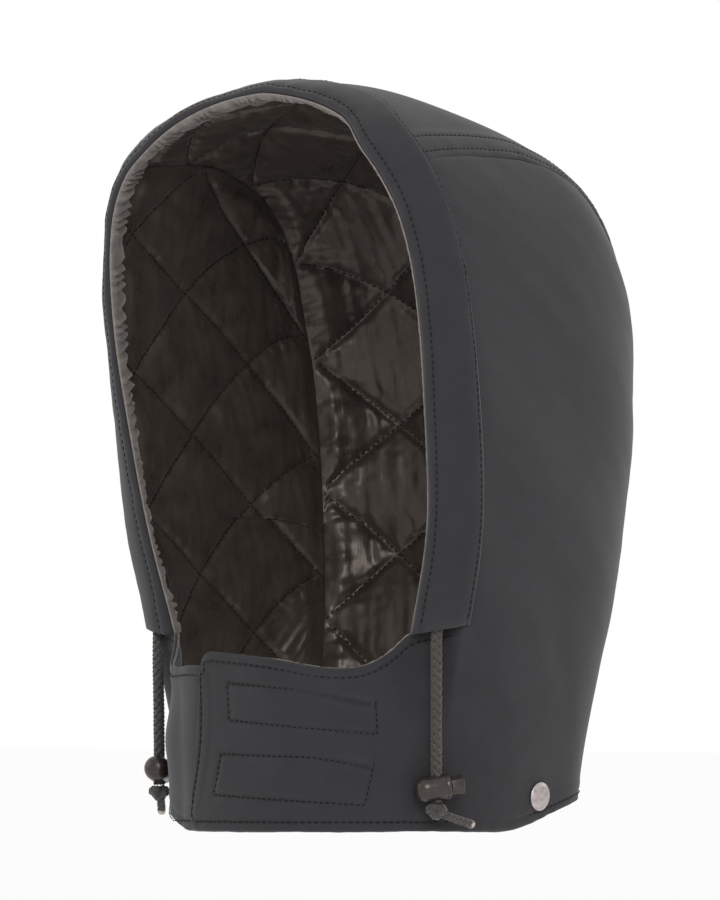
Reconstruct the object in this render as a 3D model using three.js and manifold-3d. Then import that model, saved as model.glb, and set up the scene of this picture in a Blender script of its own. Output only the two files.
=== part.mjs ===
// Detachable work hood, lined and quilted, with a drawcord in the casing of its face opening.
// Millimetres, +Z up. The face opening looks towards -Y and the wearer's left is +X.
// Heights are worked out from the hem, and the finished group is then lowered so that the
// origin lies where the crown rests on the top of the head.
import * as THREE from 'three';
import Module from 'manifold-3d';
import { mergeVertices } from 'three/addons/utils/BufferGeometryUtils.js';

// Where the head holds the hood: this far behind the middle, just under the lining
const REST_SETBACK = -30;
const REST_CLEARANCE = 1.5;

// Overall form
const HOOD_HEIGHT = 370;
const HOOD_HALF_WIDTH = 116;
const HOOD_DEPTH = 200;
const FRONT_ROUNDNESS = 2.2;
const BACK_ROUNDNESS = 3.0;
const CROWN_FLAT = 0.6;
const BEND_HEIGHT = 235;
const BEND_SETBACK = 0;
const HEM_BACK_RISE = 15;
const HEM_RISE_START = -20;
const HEM_RISE_END = 60;

// Cut pieces: the centre strip widens from the hem to the crown
const STRIP_HEM_HALF = 80;
const STRIP_CROWN_HALF = 93;
const SHELL_THICKNESS = 2;
const SEAM_GAP = 0.4;

// Drawstring casing
const CASING_WIDTH = 24;
const CASING_CLOTH = 1.2;
const CASING_HALF_THICKNESS = 2.7;
const MOUTH_HALF_THICKNESS = 4.9;
const MOUTH_FLARE_LENGTH = 45;
const MOUTH_HEIGHT = 101;
const MOUTH_SLANT = 7;
const MOUTH_CLEARANCE = 1;
const TUNNEL_START = 0.16;
const TUNNEL_END = 0.8;
const SEAM_CORNER = 0.4;
const TUNNEL_FILL = 0.95;
const CASING_GAP = 1.5;

// Collar and closing flap
const COLLAR_HEIGHT = 88;
const COLLAR_TUCK = 14;
const TUCK_START_HEIGHT = 38;
const FLAP_OVERLAP_TOP = 20;
const FLAP_OVERLAP_HEM = 33;
const FLAP_CORNER_RADIUS = 9;
const CORNER_STEP = 0.25;
const UNDERLAP = 28;
const UNDERLAP_LEAD = 14;
const UNDERLAP_RAMP = 18;
const LAYER_GAP = 1.2;
const RIGHT_HEM_RISE = 15;
const RIGHT_RISE_BACK = 45;
const RIGHT_RISE_AROUND = 0.5;

// Lining
const LINING_GAP = 0.6;
const LINING_FLAT = 1.4;
const QUILT_PUFF = 4.5;
const QUILT_REPEAT = 4;
const LINING_REACH = 0.45;
const GATHER_THICKNESS = 1;
const GATHER_HEIGHT = 1.2;
const GATHER_START = 0.05;

// Snaps at the lower back corners
const SNAP_SETBACK = 9;
const SNAP_HEIGHT = 16;
const SNAP_RADIUS = 7.2;
const SNAP_CAP_HEIGHT = 2.8;
const SNAP_FLAT_RADIUS = 3;
const SOCKET_RADIUS = 5.5;
const SOCKET_HEIGHT = 2;
const SEAT_GAP = 0.35;

// Cord and cord locks
const CORD_DIAMETER = 5.5;
const CORD_SIDES = 8;
const CORD_STEPS = 12;
const CORD_CLEARANCE = 0.35;
const LOCK_RADIUS = 6.5;
const LOCK_CLOSED_END = 11;
const LOCK_OPEN_END = 6.5;
const LOCK_BORE_RADIUS = 4.4;
const LOCK_BORE_DEPTH = 2.3;
const LOCK_EDGE = 0.65;
const PLUNGER_RADIUS = 5.2;
const PLUNGER_LENGTH = 7.6;
const PLUNGER_STEM = 1.9;
const PLUNGER_EDGE = 0.95;
const KNOT_RADIUS = 5.2;
const KNOT_HEIGHT = 8;
const KNOT_RING_SHARE = 0.58;
const KNOT_SLIM = 2.6;
const KNOT_LEANS = [0.3, -0.35];
const KNOT_LOOP_SIDES = 5;
const KNOT_LOOP_STEPS = 8;
const TAIL_DIAMETER = 4;
const TAIL_STEPS = 4;

// Small differences: the step that slopes are taken over, and the least half width of the arch
const SLOPE_STEP = 0.05;
const ARCH_STEP = 0.01;
const CREST_HALF_WIDTH = 0.02;
const CREST_SEARCH_START = 0.9;
const ARCH_SIDE = 0.4;
const ARCH_SEARCH_END = 0.6;

// Grid of the cut pieces: steps up the back, round the bend, along the top and up to the mouth
const BACK_STEPS = 14;
const BEND_STEPS = 10;
const TOP_STEPS = 6;
const STRIP_STEPS = 10;
const COLLAR_ROWS = 6;
const COLLAR_STEPS = 10;
const CASING_STEPS = 36;
const GATHER_STEPS = 72;

// Horizontal sections of the form. Rise is a share of the height, half a share of the half
// width, and front, axis and back are shares of the depth.
const SECTIONS = [
  { rise: 0.00, half: 0.82, front: -0.56, axis: 0.12, back: 0.34 },
  { rise: 0.10, half: 0.85, front: -0.56, axis: 0.10, back: 0.38 },
  { rise: 0.22, half: 0.91, front: -0.58, axis: 0.05, back: 0.45 },
  { rise: 0.30, half: 0.95, front: -0.66, axis: 0.02, back: 0.50 },
  { rise: 0.42, half: 0.99, front: -0.95, axis: 0.00, back: 0.55 },
  { rise: 0.55, half: 1.00, front: -1.20, axis: 0.00, back: 0.58 },
  { rise: 0.68, half: 1.00, front: -1.25, axis: -0.02, back: 0.57 },
  { rise: 0.78, half: 0.97, front: -1.20, axis: -0.05, back: 0.51 },
  { rise: 0.86, half: 0.89, front: -1.10, axis: -0.10, back: 0.41 },
  { rise: 0.92, half: 0.75, front: -1.00, axis: -0.18, back: 0.23 },
  { rise: 0.97, half: 0.50, front: -0.80, axis: -0.26, back: -0.02 },
  { rise: 1.00, half: 0.00, front: -0.33, axis: -0.33, back: -0.33 },
];

// Seam between the panels and the casing: where it stands, as a share of the depth, and how
// much of the casing's width draws the opening in.
const FACE = [
  { rise: 0.00, edge: -0.260, draw: 0.86 },
  { rise: 0.27, edge: -0.280, draw: 0.86 },
  { rise: 0.42, edge: -0.300, draw: 0.84 },
  { rise: 0.65, edge: -0.345, draw: 0.66 },
  { rise: 0.82, edge: -0.385, draw: 0.58 },
  { rise: 0.90, edge: -0.405, draw: 0.58 },
  { rise: 0.94, edge: -0.395, draw: 0.55 },
  { rise: 0.975, edge: -0.345, draw: 0.35 },
  { rise: 1.00, edge: -0.330, draw: 0.20 },
];

// Collar, from the casing seam (0) round to the end of the front (1): the height of its top
// edge as a share of the collar height, and how far it is tucked in as a share of the tuck.
const COLLAR = [
  { around: 0.00, top: 1.136, tuck: 0.00 },
  { around: 0.06, top: 1.09, tuck: 0.62 },
  { around: 0.13, top: 1.06, tuck: 0.95 },
  { around: 0.20, top: 1.03, tuck: 1.00 },
  { around: 0.30, top: 0.95, tuck: 0.80 },
  { around: 0.42, top: 0.89, tuck: 0.45 },
  { around: 0.55, top: 0.89, tuck: 0.18 },
  { around: 0.75, top: 0.95, tuck: 0.03 },
  { around: 1.00, top: 1.00, tuck: 0.00 },
];

const clamp = (value, low, high) => Math.min(Math.max(value, low), high);
const mix = (a, b, share) => a + (b - a) * share;
const smooth = (share) => {
  const s = clamp(share, 0, 1);
  return s * s * (3 - 2 * s);
};

// A smooth curve through one column of a table, with slopes taken from the neighbouring rows
function curveThrough(rows, place, column) {
  const xs = rows.map(place);
  const ys = rows.map((row) => row[column]);
  const slope = (k) => {
    const a = Math.max(k - 1, 0);
    const b = Math.min(k + 1, xs.length - 1);
    return (ys[b] - ys[a]) / (xs[b] - xs[a]);
  };
  return (x) => {
    let k = 0;
    while (k < xs.length - 2 && (xs[k + 1] - x) * Math.sign(xs[1] - xs[0]) < 0) k += 1;
    const step = xs[k + 1] - xs[k];
    const t = clamp((x - xs[k]) / step, 0, 1);
    const bend = t * t * (3 - 2 * t);
    const pull = slope(k) * t * (1 - t) * (1 - t) - slope(k + 1) * t * t * (1 - t);
    return mix(ys[k], ys[k + 1], bend) + pull * step;
  };
}

const fromCrown = (row) => Math.sqrt(1 - row.rise);
const crownPlace = (z) => Math.sqrt(Math.max(1 - z / HOOD_HEIGHT, 0));
const halfShare = curveThrough(SECTIONS, fromCrown, 'half');
const frontShare = curveThrough(SECTIONS, fromCrown, 'front');
const axisShare = curveThrough(SECTIONS, fromCrown, 'axis');
const backShare = curveThrough(SECTIONS, fromCrown, 'back');
const edgeShare = curveThrough(FACE, fromCrown, 'edge');
const drawShare = curveThrough(FACE, fromCrown, 'draw');
const collarTop = curveThrough(COLLAR, (row) => row.around, 'top');
const collarTuck = curveThrough(COLLAR, (row) => row.around, 'tuck');

function sectionAt(z) {
  const place = crownPlace(z);
  return {
    half: Math.max(HOOD_HALF_WIDTH * halfShare(place), 0.001),
    front: HOOD_DEPTH * frontShare(place),
    axis: HOOD_DEPTH * axisShare(place),
    back: HOOD_DEPTH * backShare(place),
  };
}

// How far round its section a point lies from the axis: 1 at the front or the back
function reachShare(section, y) {
  const run = y > section.axis ? section.back - section.axis : section.axis - section.front;
  return Math.abs(y - section.axis) / Math.max(run, 0.001);
}

const roundnessAt = (section, y) => (y > section.axis ? BACK_ROUNDNESS : FRONT_ROUNDNESS);

// Below zero inside the form, zero on it
function formValue(x, y, z) {
  const section = sectionAt(z);
  const power = roundnessAt(section, y);
  return (Math.abs(x) / section.half) ** power + reachShare(section, y) ** power - 1;
}

function halfWidthAt(y, z) {
  const section = sectionAt(z);
  const power = roundnessAt(section, y);
  return section.half * Math.max(1 - reachShare(section, y) ** power, 0) ** (1 / power);
}

// The form's outward direction, by small differences, and straight up at the very crown
function outwardAt(point) {
  const { x, y, z } = point;
  const step = SLOPE_STEP;
  if (z > HOOD_HEIGHT - CROWN_FLAT) return new THREE.Vector3(0, 0, 1);
  return new THREE.Vector3(
    formValue(x + step, y, z) - formValue(x - step, y, z),
    formValue(x, y + step, z) - formValue(x, y - step, z),
    formValue(x, y, z + step) - formValue(x, y, z - step),
  ).normalize();
}

// The value between low and high where a rising function crosses zero
function crossing(rising, low, high) {
  let a = low;
  let b = high;
  for (let k = 0; k < 50; k += 1) {
    const middle = (a + b) / 2;
    if (rising(middle) < 0) a = middle;
    else b = middle;
  }
  return (a + b) / 2;
}

const hemHeight = (y) => HEM_BACK_RISE * smooth((y - HEM_RISE_START) / (HEM_RISE_END - HEM_RISE_START));

// The casing seam as an arch: its place runs from 0 at the crest, in the square root of the drop
const edgeY = (z) => HOOD_DEPTH * edgeShare(crownPlace(z));
const crestHeight = crossing(
  (z) => CREST_HALF_WIDTH - halfWidthAt(edgeY(z), z),
  CREST_SEARCH_START * HOOD_HEIGHT,
  HOOD_HEIGHT,
);

function archPoint(place) {
  const z = crestHeight * (1 - place * place);
  return new THREE.Vector3(Math.sign(place) * halfWidthAt(edgeY(z), z), edgeY(z), z);
}

const archPlace = (z) => Math.sqrt(Math.max(1 - z / crestHeight, 0));
const placeOfWidth = (x) => crossing((place) => archPoint(place).x - x, 0, ARCH_SEARCH_END);

// The way from the casing seam to the lip, and the band's outward direction
function bandFrame(place) {
  const along = archPoint(place + ARCH_STEP).sub(archPoint(place - ARCH_STEP));
  const inward = new THREE.Vector3(-along.z, 0, along.x).normalize();
  if (inward.z > 0 || (Math.abs(place) > ARCH_SIDE && inward.x * place > 0)) inward.negate();
  const draw = drawShare(crownPlace(crestHeight * (1 - place * place)));
  const toLip = inward.multiplyScalar(draw).add(new THREE.Vector3(0, -Math.sqrt(1 - draw * draw), 0));
  const out = new THREE.Vector3().crossVectors(toLip, along).normalize();
  const away = new THREE.Vector3(archPoint(place).x, 0, archPoint(place).z - BEND_HEIGHT);
  if (out.dot(away) < 0) out.negate();
  return { toLip, out, seamOut: outwardAt(archPoint(place)) };
}

// A point of the casing band: across runs from the seam (0) to the lip (1). Heights stand
// square to the panels at the seam and turn square to the band within the corner's share.
function bandPoint(place, across, height) {
  const frame = bandFrame(place);
  const out = frame.seamOut.lerp(frame.out, smooth(across / SEAM_CORNER)).normalize();
  return archPoint(place)
    .addScaledVector(frame.toLip, CASING_WIDTH * across)
    .addScaledVector(out, height);
}

// Half the casing's thickness: full at the mouths, where the cord comes out, and flatter above
function halfThicknessAt(z) {
  return mix(MOUTH_HALF_THICKNESS, CASING_HALF_THICKNESS, smooth((z - MOUTH_HEIGHT) / MOUTH_FLARE_LENGTH));
}

// A point of the centre strip. Station 0 to 1 climbs the back, 1 to 2 goes round the bend
// over the crown and 2 to 3 comes forward to the casing seam.
function stripPoint(station, x) {
  const wide = Math.abs(x);
  if (station <= 1) {
    const yAt = (z) => crossing((y) => formValue(wide, y, z), BEND_SETBACK, HOOD_DEPTH);
    const foot = hemHeight(yAt(HEM_BACK_RISE));
    const z = mix(foot, BEND_HEIGHT, station);
    return new THREE.Vector3(x, yAt(z), z);
  }
  if (station <= 2) {
    const turn = ((station - 1) * Math.PI) / 2;
    const yAt = (reach) => BEND_SETBACK + reach * Math.cos(turn);
    const zAt = (reach) => BEND_HEIGHT + reach * Math.sin(turn);
    const reach = crossing((r) => (zAt(r) >= HOOD_HEIGHT ? 1 : formValue(wide, yAt(r), zAt(r))), 1, HOOD_DEPTH);
    return new THREE.Vector3(x, yAt(reach), zAt(reach));
  }
  const front = archPoint(placeOfWidth(wide)).y + CASING_GAP;
  const y = mix(BEND_SETBACK, front, station - 2);
  const z = crossing((height) => formValue(wide, y, height), BEND_HEIGHT, HOOD_HEIGHT);
  return new THREE.Vector3(x, y, z);
}

const stations = [];
for (let k = 0; k < BACK_STEPS; k += 1) stations.push(k / BACK_STEPS);
for (let k = 0; k < BEND_STEPS; k += 1) stations.push(1 + k / BEND_STEPS);
for (let k = 0; k <= TOP_STEPS; k += 1) stations.push(2 + k / TOP_STEPS);

const SIDE_ROWS = BACK_STEPS + BEND_STEPS / 2;
const SIDE_STEPS = TOP_STEPS + BEND_STEPS / 2;

// Half the centre strip's width at a station
const stripHalfAt = (station) => mix(STRIP_HEM_HALF, STRIP_CROWN_HALF, smooth(station / 2));

// The side panel's outline in side view: hem, seam up the back, seam along the top, casing seam
const seamPoint = (station) => stripPoint(station, stripHalfAt(station) + SEAM_GAP / 2);
const sideBack = stations.slice(0, SIDE_ROWS + 1).map(seamPoint);
const sideTop = stations.slice(SIDE_ROWS).reverse().map(seamPoint);
const sideFront = [];
for (let i = 0; i <= SIDE_ROWS; i += 1) {
  const mouth = MOUTH_HEIGHT - MOUTH_CLEARANCE;
  const upper = (i - COLLAR_ROWS) / (SIDE_ROWS - COLLAR_ROWS);
  const z = i <= COLLAR_ROWS ? mix(hemHeight(edgeY(0)), mouth, i / COLLAR_ROWS) : mix(mouth, sideTop[0].z, upper);
  sideFront.push(new THREE.Vector3(0, edgeY(z) + CASING_GAP, z));
}
sideFront[SIDE_ROWS].copy(sideTop[0]);
const sideHem = sideTop.map((_, j) => {
  const y = mix(sideFront[0].y, sideBack[0].y, j / SIDE_STEPS);
  return new THREE.Vector3(0, y, hemHeight(y));
});
sideHem[SIDE_STEPS].copy(sideBack[0]);

// The right front's hem hangs higher at the side, where the front is pulled across under the flap
const riseBeside = (y) => 1 - smooth((y - sideFront[0].y) / RIGHT_RISE_BACK);
const riseAround = (around) => 1 - smooth(around / RIGHT_RISE_AROUND);
const hemRise = (z) => RIGHT_HEM_RISE * (1 - smooth(z / COLLAR_HEIGHT));

// A point of the left side panel, or of the right one before it is mirrored, filled in from its
// four edges
function sidePoint(i, j, left = true) {
  const u = j / SIDE_STEPS;
  const v = i / SIDE_ROWS;
  const fill = (axis) => mix(sideHem[j][axis], sideTop[j][axis], v)
    + mix(sideFront[i][axis], sideBack[i][axis], u)
    - mix(mix(sideHem[0][axis], sideHem[SIDE_STEPS][axis], u), mix(sideTop[0][axis], sideTop[SIDE_STEPS][axis], u), v);
  const y = fill('y');
  const level = fill('z');
  const z = left ? level : level + hemRise(level) * riseBeside(y);
  return new THREE.Vector3(halfWidthAt(y, z), y, z);
}

// A point of the collar's front. Around runs from the casing seam to the front's end, which
// lies past the middle by the given overlap, and share from the hem to the top edge.
function collarPoint(around, share, overlapHem, overlapTop, left) {
  const ends = mix(overlapHem, overlapTop, share);
  const top = COLLAR_HEIGHT * collarTop(around);
  const seam = mix(sideFront[0].z, sideFront[COLLAR_ROWS].z, share);
  const level = mix(seam, top * share, smooth(around / COLLAR[1].around));
  const z = left ? level : level + hemRise(level) * riseAround(around);
  const section = sectionAt(z);
  const seamZ = left ? seam : seam + hemRise(seam);
  const seamX = halfWidthAt(edgeY(seam) + CASING_GAP, seamZ);
  const angleOf = (x) => Math.asin(clamp(x / section.half, 0, 1) ** (FRONT_ROUNDNESS / 2));
  const angle = mix(angleOf(seamX), -angleOf(ends), around);
  const x = section.half * Math.sign(angle) * Math.abs(Math.sin(angle)) ** (2 / FRONT_ROUNDNESS);
  const y = section.axis - (section.axis - section.front) * Math.cos(angle) ** (2 / FRONT_ROUNDNESS);
  const point = new THREE.Vector3(x, y, z);
  const climb = smooth((z - TUCK_START_HEIGHT) / (COLLAR_HEIGHT - TUCK_START_HEIGHT));
  return point.addScaledVector(outwardAt(point), -COLLAR_TUCK * collarTuck(around) * climb);
}

function geometryOf(points, faces) {
  const geometry = new THREE.BufferGeometry();
  geometry.setAttribute('position', new THREE.Float32BufferAttribute(points.flatMap((p) => [p.x, p.y, p.z]), 3));
  let volume = 0;
  for (const [a, b, c] of faces) {
    volume += points[a].dot(new THREE.Vector3().crossVectors(points[b], points[c])) / 6;
  }
  const turned = volume < 0 ? faces.map(([a, b, c]) => [a, c, b]) : faces;
  geometry.setIndex(turned.flat());
  return geometry;
}

// A closed sheet over a grid: front and back faces, with rims along every open edge. The cell
// rule says which cells are cloth, and the diagonal rule how each is split.
function sheet(rows, columns, facePair, hasCell = () => true, alongRise = () => false) {
  const points = [];
  const index = new Map();
  const at = (i, j) => {
    const key = `${i},${j}`;
    if (!index.has(key)) {
      const pair = facePair(i, j);
      index.set(key, points.length);
      points.push(pair.front, pair.back);
    }
    return index.get(key);
  };
  const faces = [];
  const edges = new Map();
  const triangle = (a, b, c) => {
    faces.push([a, b, c], [a + 1, c + 1, b + 1]);
    for (const [p, q] of [[a, b], [b, c], [c, a]]) {
      if (edges.has(`${q},${p}`)) edges.delete(`${q},${p}`);
      else edges.set(`${p},${q}`, [p, q]);
    }
  };
  for (let i = rows[0]; i < rows[1]; i += 1) {
    for (let j = columns[0]; j < columns[1]; j += 1) {
      if (hasCell(i, j)) {
        const a = at(i, j);
        const b = at(i, j + 1);
        const c = at(i + 1, j + 1);
        const d = at(i + 1, j);
        if (alongRise(i, j)) {
          triangle(a, b, c);
          triangle(a, c, d);
        } else {
          triangle(a, b, d);
          triangle(b, c, d);
        }
      }
    }
  }
  for (const [p, q] of edges.values()) faces.push([p, p + 1, q], [q, p + 1, q + 1]);
  return geometryOf(points, faces);
}

// Cells are split along the quilting lines, in the shell too, so that the layers stay parallel
const quiltSplit = (i, j) => Math.abs(i - j) % (QUILT_REPEAT / 2) === 0;

const mirrored = (point) => new THREE.Vector3(-point.x, point.y, point.z);

function material(color, roughness, metalness = 0) {
  return new THREE.MeshStandardMaterial({ color, roughness, metalness });
}

const DUCK = 0x3d3c3f;
const SATIN = 0x2b2624;
const GATHERED = 0x6b645f;
const CORD = 0x4a443e;
const PLASTIC = 0x3a3734;
const METAL = 0xa09690;

const group = new THREE.Group();

function place(name, geometry, surface) {
  const mesh = new THREE.Mesh(geometry, surface);
  mesh.name = name;
  group.add(mesh);
  return mesh;
}

// Outer shell: centre strip

function shellPair(point) {
  const out = outwardAt(point);
  return { front: point.clone(), back: point.clone().addScaledVector(out, -SHELL_THICKNESS) };
}

function stripX(station, j) {
  const reach = stripHalfAt(station) - SEAM_GAP / 2;
  return mix(-reach, reach, j / STRIP_STEPS);
}

place('center_panel', sheet(
  [0, stations.length - 1],
  [0, STRIP_STEPS],
  (i, j) => shellPair(stripPoint(stations[i], stripX(stations[i], j))),
  () => true,
  quiltSplit,
), material(DUCK, 0.9));

// Outer shell: side panels, each cut in one with its half of the collar

const collarStops = [];
for (let k = 0; k <= COLLAR_STEPS; k += 1) collarStops.push(k / COLLAR_STEPS);
const cornerStop = 1 - CORNER_STEP / COLLAR_STEPS;
collarStops.splice(COLLAR_STEPS, 0, cornerStop);

function frontOf(flap) {
  const overlapTop = flap ? FLAP_OVERLAP_TOP : UNDERLAP;
  const overlapHem = flap ? FLAP_OVERLAP_HEM : UNDERLAP;
  return (i, k) => {
    const around = collarStops[k];
    const point = collarPoint(around, i / COLLAR_ROWS, overlapHem, overlapTop, flap);
    const out = outwardAt(point);
    const tuckedBy = FLAP_OVERLAP_HEM + UNDERLAP_LEAD;
    const under = flap ? 0 : smooth((tuckedBy + UNDERLAP_RAMP - point.x) / UNDERLAP_RAMP);
    const front = point.clone().addScaledVector(out, -under * (SHELL_THICKNESS + LAYER_GAP));
    const end = k === collarStops.length - 1;
    const rounded = flap && end && (i === 0 || i === COLLAR_ROWS);
    if (rounded) front.z += (i === 0 ? 1 : -1) * FLAP_CORNER_RADIUS / 2;
    return { front, back: front.clone().addScaledVector(out, -SHELL_THICKNESS) };
  };
}

function sidePanel(flap) {
  const front = frontOf(flap);
  const pairAt = (i, j) => (j >= 0 ? shellPair(sidePoint(i, j, flap)) : front(i, -j));
  const flip = (pair) => ({ front: mirrored(pair.front), back: mirrored(pair.back) });
  return sheet(
    [0, SIDE_ROWS],
    [1 - collarStops.length, SIDE_STEPS],
    (i, j) => (flap ? pairAt(i, j) : flip(pairAt(i, j))),
    (i, j) => j >= 0 || i < COLLAR_ROWS,
    quiltSplit,
  );
}

place('side_panel_left', sidePanel(true), material(DUCK, 0.9));
place('side_panel_right', sidePanel(false), material(DUCK, 0.9));

// Drawstring casing: a folded tube of cloth round the opening, open at both lower ends

const CASING_SKIN = [
  { across: 0.00, height: -0.10 },
  { across: 0.24, height: 0.80 },
  { across: 0.60, height: 1.00 },
  { across: 0.95, height: 0.45 },
  { across: 1.00, height: -0.30 },
  { across: 0.90, height: -0.80 },
  { across: 0.45, height: -1.00 },
  { across: 0.00, height: -0.70 },
];

const mouthPlace = archPlace(MOUTH_HEIGHT);
const lipMouthPlace = archPlace(MOUTH_HEIGHT - MOUTH_SLANT);

function casingPoint(step, across, height) {
  const share = mix(-1, 1, step / CASING_STEPS);
  const seamPlace = mouthPlace * share;
  const lipPlace = lipMouthPlace * share;
  const at = mix(seamPlace, lipPlace, across);
  return bandPoint(at, across, height);
}

function casing() {
  const points = [];
  const faces = [];
  const skin = CASING_SKIN.length;
  for (let step = 0; step <= CASING_STEPS; step += 1) {
    const half = halfThicknessAt(casingPoint(step, 0, 0).z);
    for (const row of CASING_SKIN) points.push(casingPoint(step, row.across, row.height * half));
    for (const row of CASING_SKIN) {
      const across = mix(TUNNEL_START, TUNNEL_END, row.across);
      const wall = (half - CASING_CLOTH) / half;
      points.push(casingPoint(step, across, row.height * half * wall * TUNNEL_FILL));
    }
  }
  const ring = 2 * skin;
  const quad = (a, b, c, d) => faces.push([a, b, c], [a, c, d]);
  for (let k = 0; k < skin; k += 1) {
    const next = (k + 1) % skin;
    for (let step = 0; step < CASING_STEPS; step += 1) {
      const here = step * ring;
      const there = here + ring;
      quad(here + k, here + next, there + next, there + k);
      quad(here + skin + next, here + skin + k, there + skin + k, there + skin + next);
    }
    const last = CASING_STEPS * ring;
    quad(next, k, skin + k, skin + next);
    quad(last + k, last + next, last + skin + next, last + skin + k);
  }
  return geometryOf(points, faces);
}

place('face_casing', casing(), material(DUCK, 0.9));

// Quilted lining: satin over wadding, sewn down along crossing diagonals. Its outer face lies
// just inside the shell, and its inner face swells between the lines of stitching.

const LINING_TOP = stations.length;

// The lowest rows are pressed flat round the snaps
const FLAT_ROWS = 2;

function quiltPuff(i, j, edge) {
  const fold = (count) => {
    const rest = ((count % QUILT_REPEAT) + QUILT_REPEAT) % QUILT_REPEAT;
    return Math.min(rest, QUILT_REPEAT - rest) / (QUILT_REPEAT / 2);
  };
  return edge || i <= FLAT_ROWS ? 0 : QUILT_PUFF * Math.min(fold(i + j), fold(i - j));
}

function liningPair(point, out, inset, puff) {
  return {
    front: point.clone().addScaledVector(out, -inset - LINING_GAP),
    back: point.clone().addScaledVector(out, -inset - LINING_GAP - LINING_FLAT - puff),
  };
}

const underCasing = (z) => Math.max(SHELL_THICKNESS, halfThicknessAt(z));

// Where the lining runs on under the casing, beside the point of the casing seam at this height
function liningUnderBand(at) {
  const seam = archPoint(at);
  const point = bandPoint(at, LINING_REACH, 0);
  const out = bandPoint(at, LINING_REACH, 1).sub(point);
  return liningPair(point, out, underCasing(seam.z), 0);
}

function sideLiningPair(i, j, left) {
  if (j < 0) return liningUnderBand(archPlace(sideFront[i].z));
  const point = sidePoint(i, j, left);
  const edge = i === 0 || i === SIDE_ROWS || j === SIDE_STEPS || (j === 0 && i <= COLLAR_ROWS);
  const inset = j === 0 ? underCasing(Math.max(point.z, MOUTH_HEIGHT)) : SHELL_THICKNESS;
  return liningPair(point, outwardAt(point), inset, quiltPuff(i, j, edge));
}

function sideLining(left) {
  const flip = (pair) => ({ front: mirrored(pair.front), back: mirrored(pair.back) });
  return sheet(
    [0, SIDE_ROWS],
    [-1, SIDE_STEPS],
    (i, j) => (left ? sideLiningPair(i, j, left) : flip(sideLiningPair(i, j, left))),
    (i, j) => j >= 0 || i >= COLLAR_ROWS,
    quiltSplit,
  );
}

place('lining_left', sideLining(true), material(SATIN, 0.35));
place('lining_right', sideLining(false), material(SATIN, 0.35));

function centerLiningPair(i, j) {
  const x = stripX(stations[Math.min(i, LINING_TOP - 1)], j);
  if (i === LINING_TOP) {
    const at = placeOfWidth(Math.abs(x));
    const pair = liningUnderBand(at);
    return x < 0 ? { front: mirrored(pair.front), back: mirrored(pair.back) } : pair;
  }
  const point = stripPoint(stations[i], x);
  const edge = i === 0 || j === 0 || j === STRIP_STEPS;
  const inset = i === LINING_TOP - 1 ? underCasing(point.z) : SHELL_THICKNESS;
  return liningPair(point, outwardAt(point), inset, quiltPuff(i, j, edge));
}

place('lining_center', sheet(
  [0, LINING_TOP],
  [0, STRIP_STEPS],
  centerLiningPair,
  () => true,
  quiltSplit,
), material(SATIN, 0.35));

// Gathered strip that finishes the lining against the lip

const GATHER_ACROSS = [
  { across: LINING_REACH + GATHER_START, drop: 1.00 },
  { across: 0.74, drop: 0.98 },
  { across: 0.95, drop: 0.74 },
];

function gatherPair(step, row) {
  const share = mix(-1, 1, step / GATHER_STEPS);
  const { across, drop } = GATHER_ACROSS[row];
  const at = mix(mouthPlace, lipMouthPlace, across) * share;
  const point = bandPoint(at, across, 0);
  const out = bandPoint(at, across, 1).sub(point);
  const inset = halfThicknessAt(point.z) * drop + LINING_GAP;
  const ruffle = GATHER_HEIGHT * (step % 2);
  return {
    front: point.clone().addScaledVector(out, -inset),
    back: point.clone().addScaledVector(out, -inset - GATHER_THICKNESS - ruffle),
  };
}

place('lining_edge', sheet([0, GATHER_STEPS], [0, GATHER_ACROSS.length - 1], gatherPair), material(GATHERED, 0.6));

// Snaps: a domed cap outside and a plain socket inside, at each lower back corner

// A turned piece from its outline of radius and height, standing on its own +Z
function turned(outline, sides) {
  const lathe = new THREE.LatheGeometry(outline.map(([r, h]) => new THREE.Vector2(r, h)), sides);
  return lathe.rotateX(Math.PI / 2);
}

function cleaned(geometry) {
  const bare = geometry.clone();
  bare.deleteAttribute('normal');
  bare.deleteAttribute('uv');
  const merged = mergeVertices(bare, 1e-3);
  const index = merged.index.array;
  const kept = [];
  for (let k = 0; k < index.length; k += 3) {
    const [a, b, c] = index.slice(k, k + 3);
    if (a !== b && b !== c && c !== a) kept.push(a, b, c);
  }
  merged.setIndex(kept);
  return merged;
}

function aimed(geometry, point, direction) {
  const turn = new THREE.Quaternion().setFromUnitVectors(new THREE.Vector3(0, 0, 1), direction);
  return geometry.applyQuaternion(turn).translate(point.x, point.y, point.z);
}

// The cap's domed side: shares of its radius and height, from the rim to the small flat on top
const CAP_SIDE = [
  { radius: 0.96, height: 0.00 },
  { radius: 1.00, height: 0.20 },
  { radius: 0.96, height: 0.50 },
  { radius: 0.76, height: 0.84 },
];
const capOutline = [
  [0, 0],
  ...CAP_SIDE.map((row) => [SNAP_RADIUS * row.radius, SNAP_CAP_HEIGHT * row.height]),
  [SNAP_FLAT_RADIUS, SNAP_CAP_HEIGHT],
  [0, SNAP_CAP_HEIGHT],
];
const socketOutline = [[0, 0], [SOCKET_RADIUS, 0], [SOCKET_RADIUS, SOCKET_HEIGHT], [0, SOCKET_HEIGHT]];
const liningDepth = SHELL_THICKNESS + LINING_GAP + LINING_FLAT;

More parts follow.
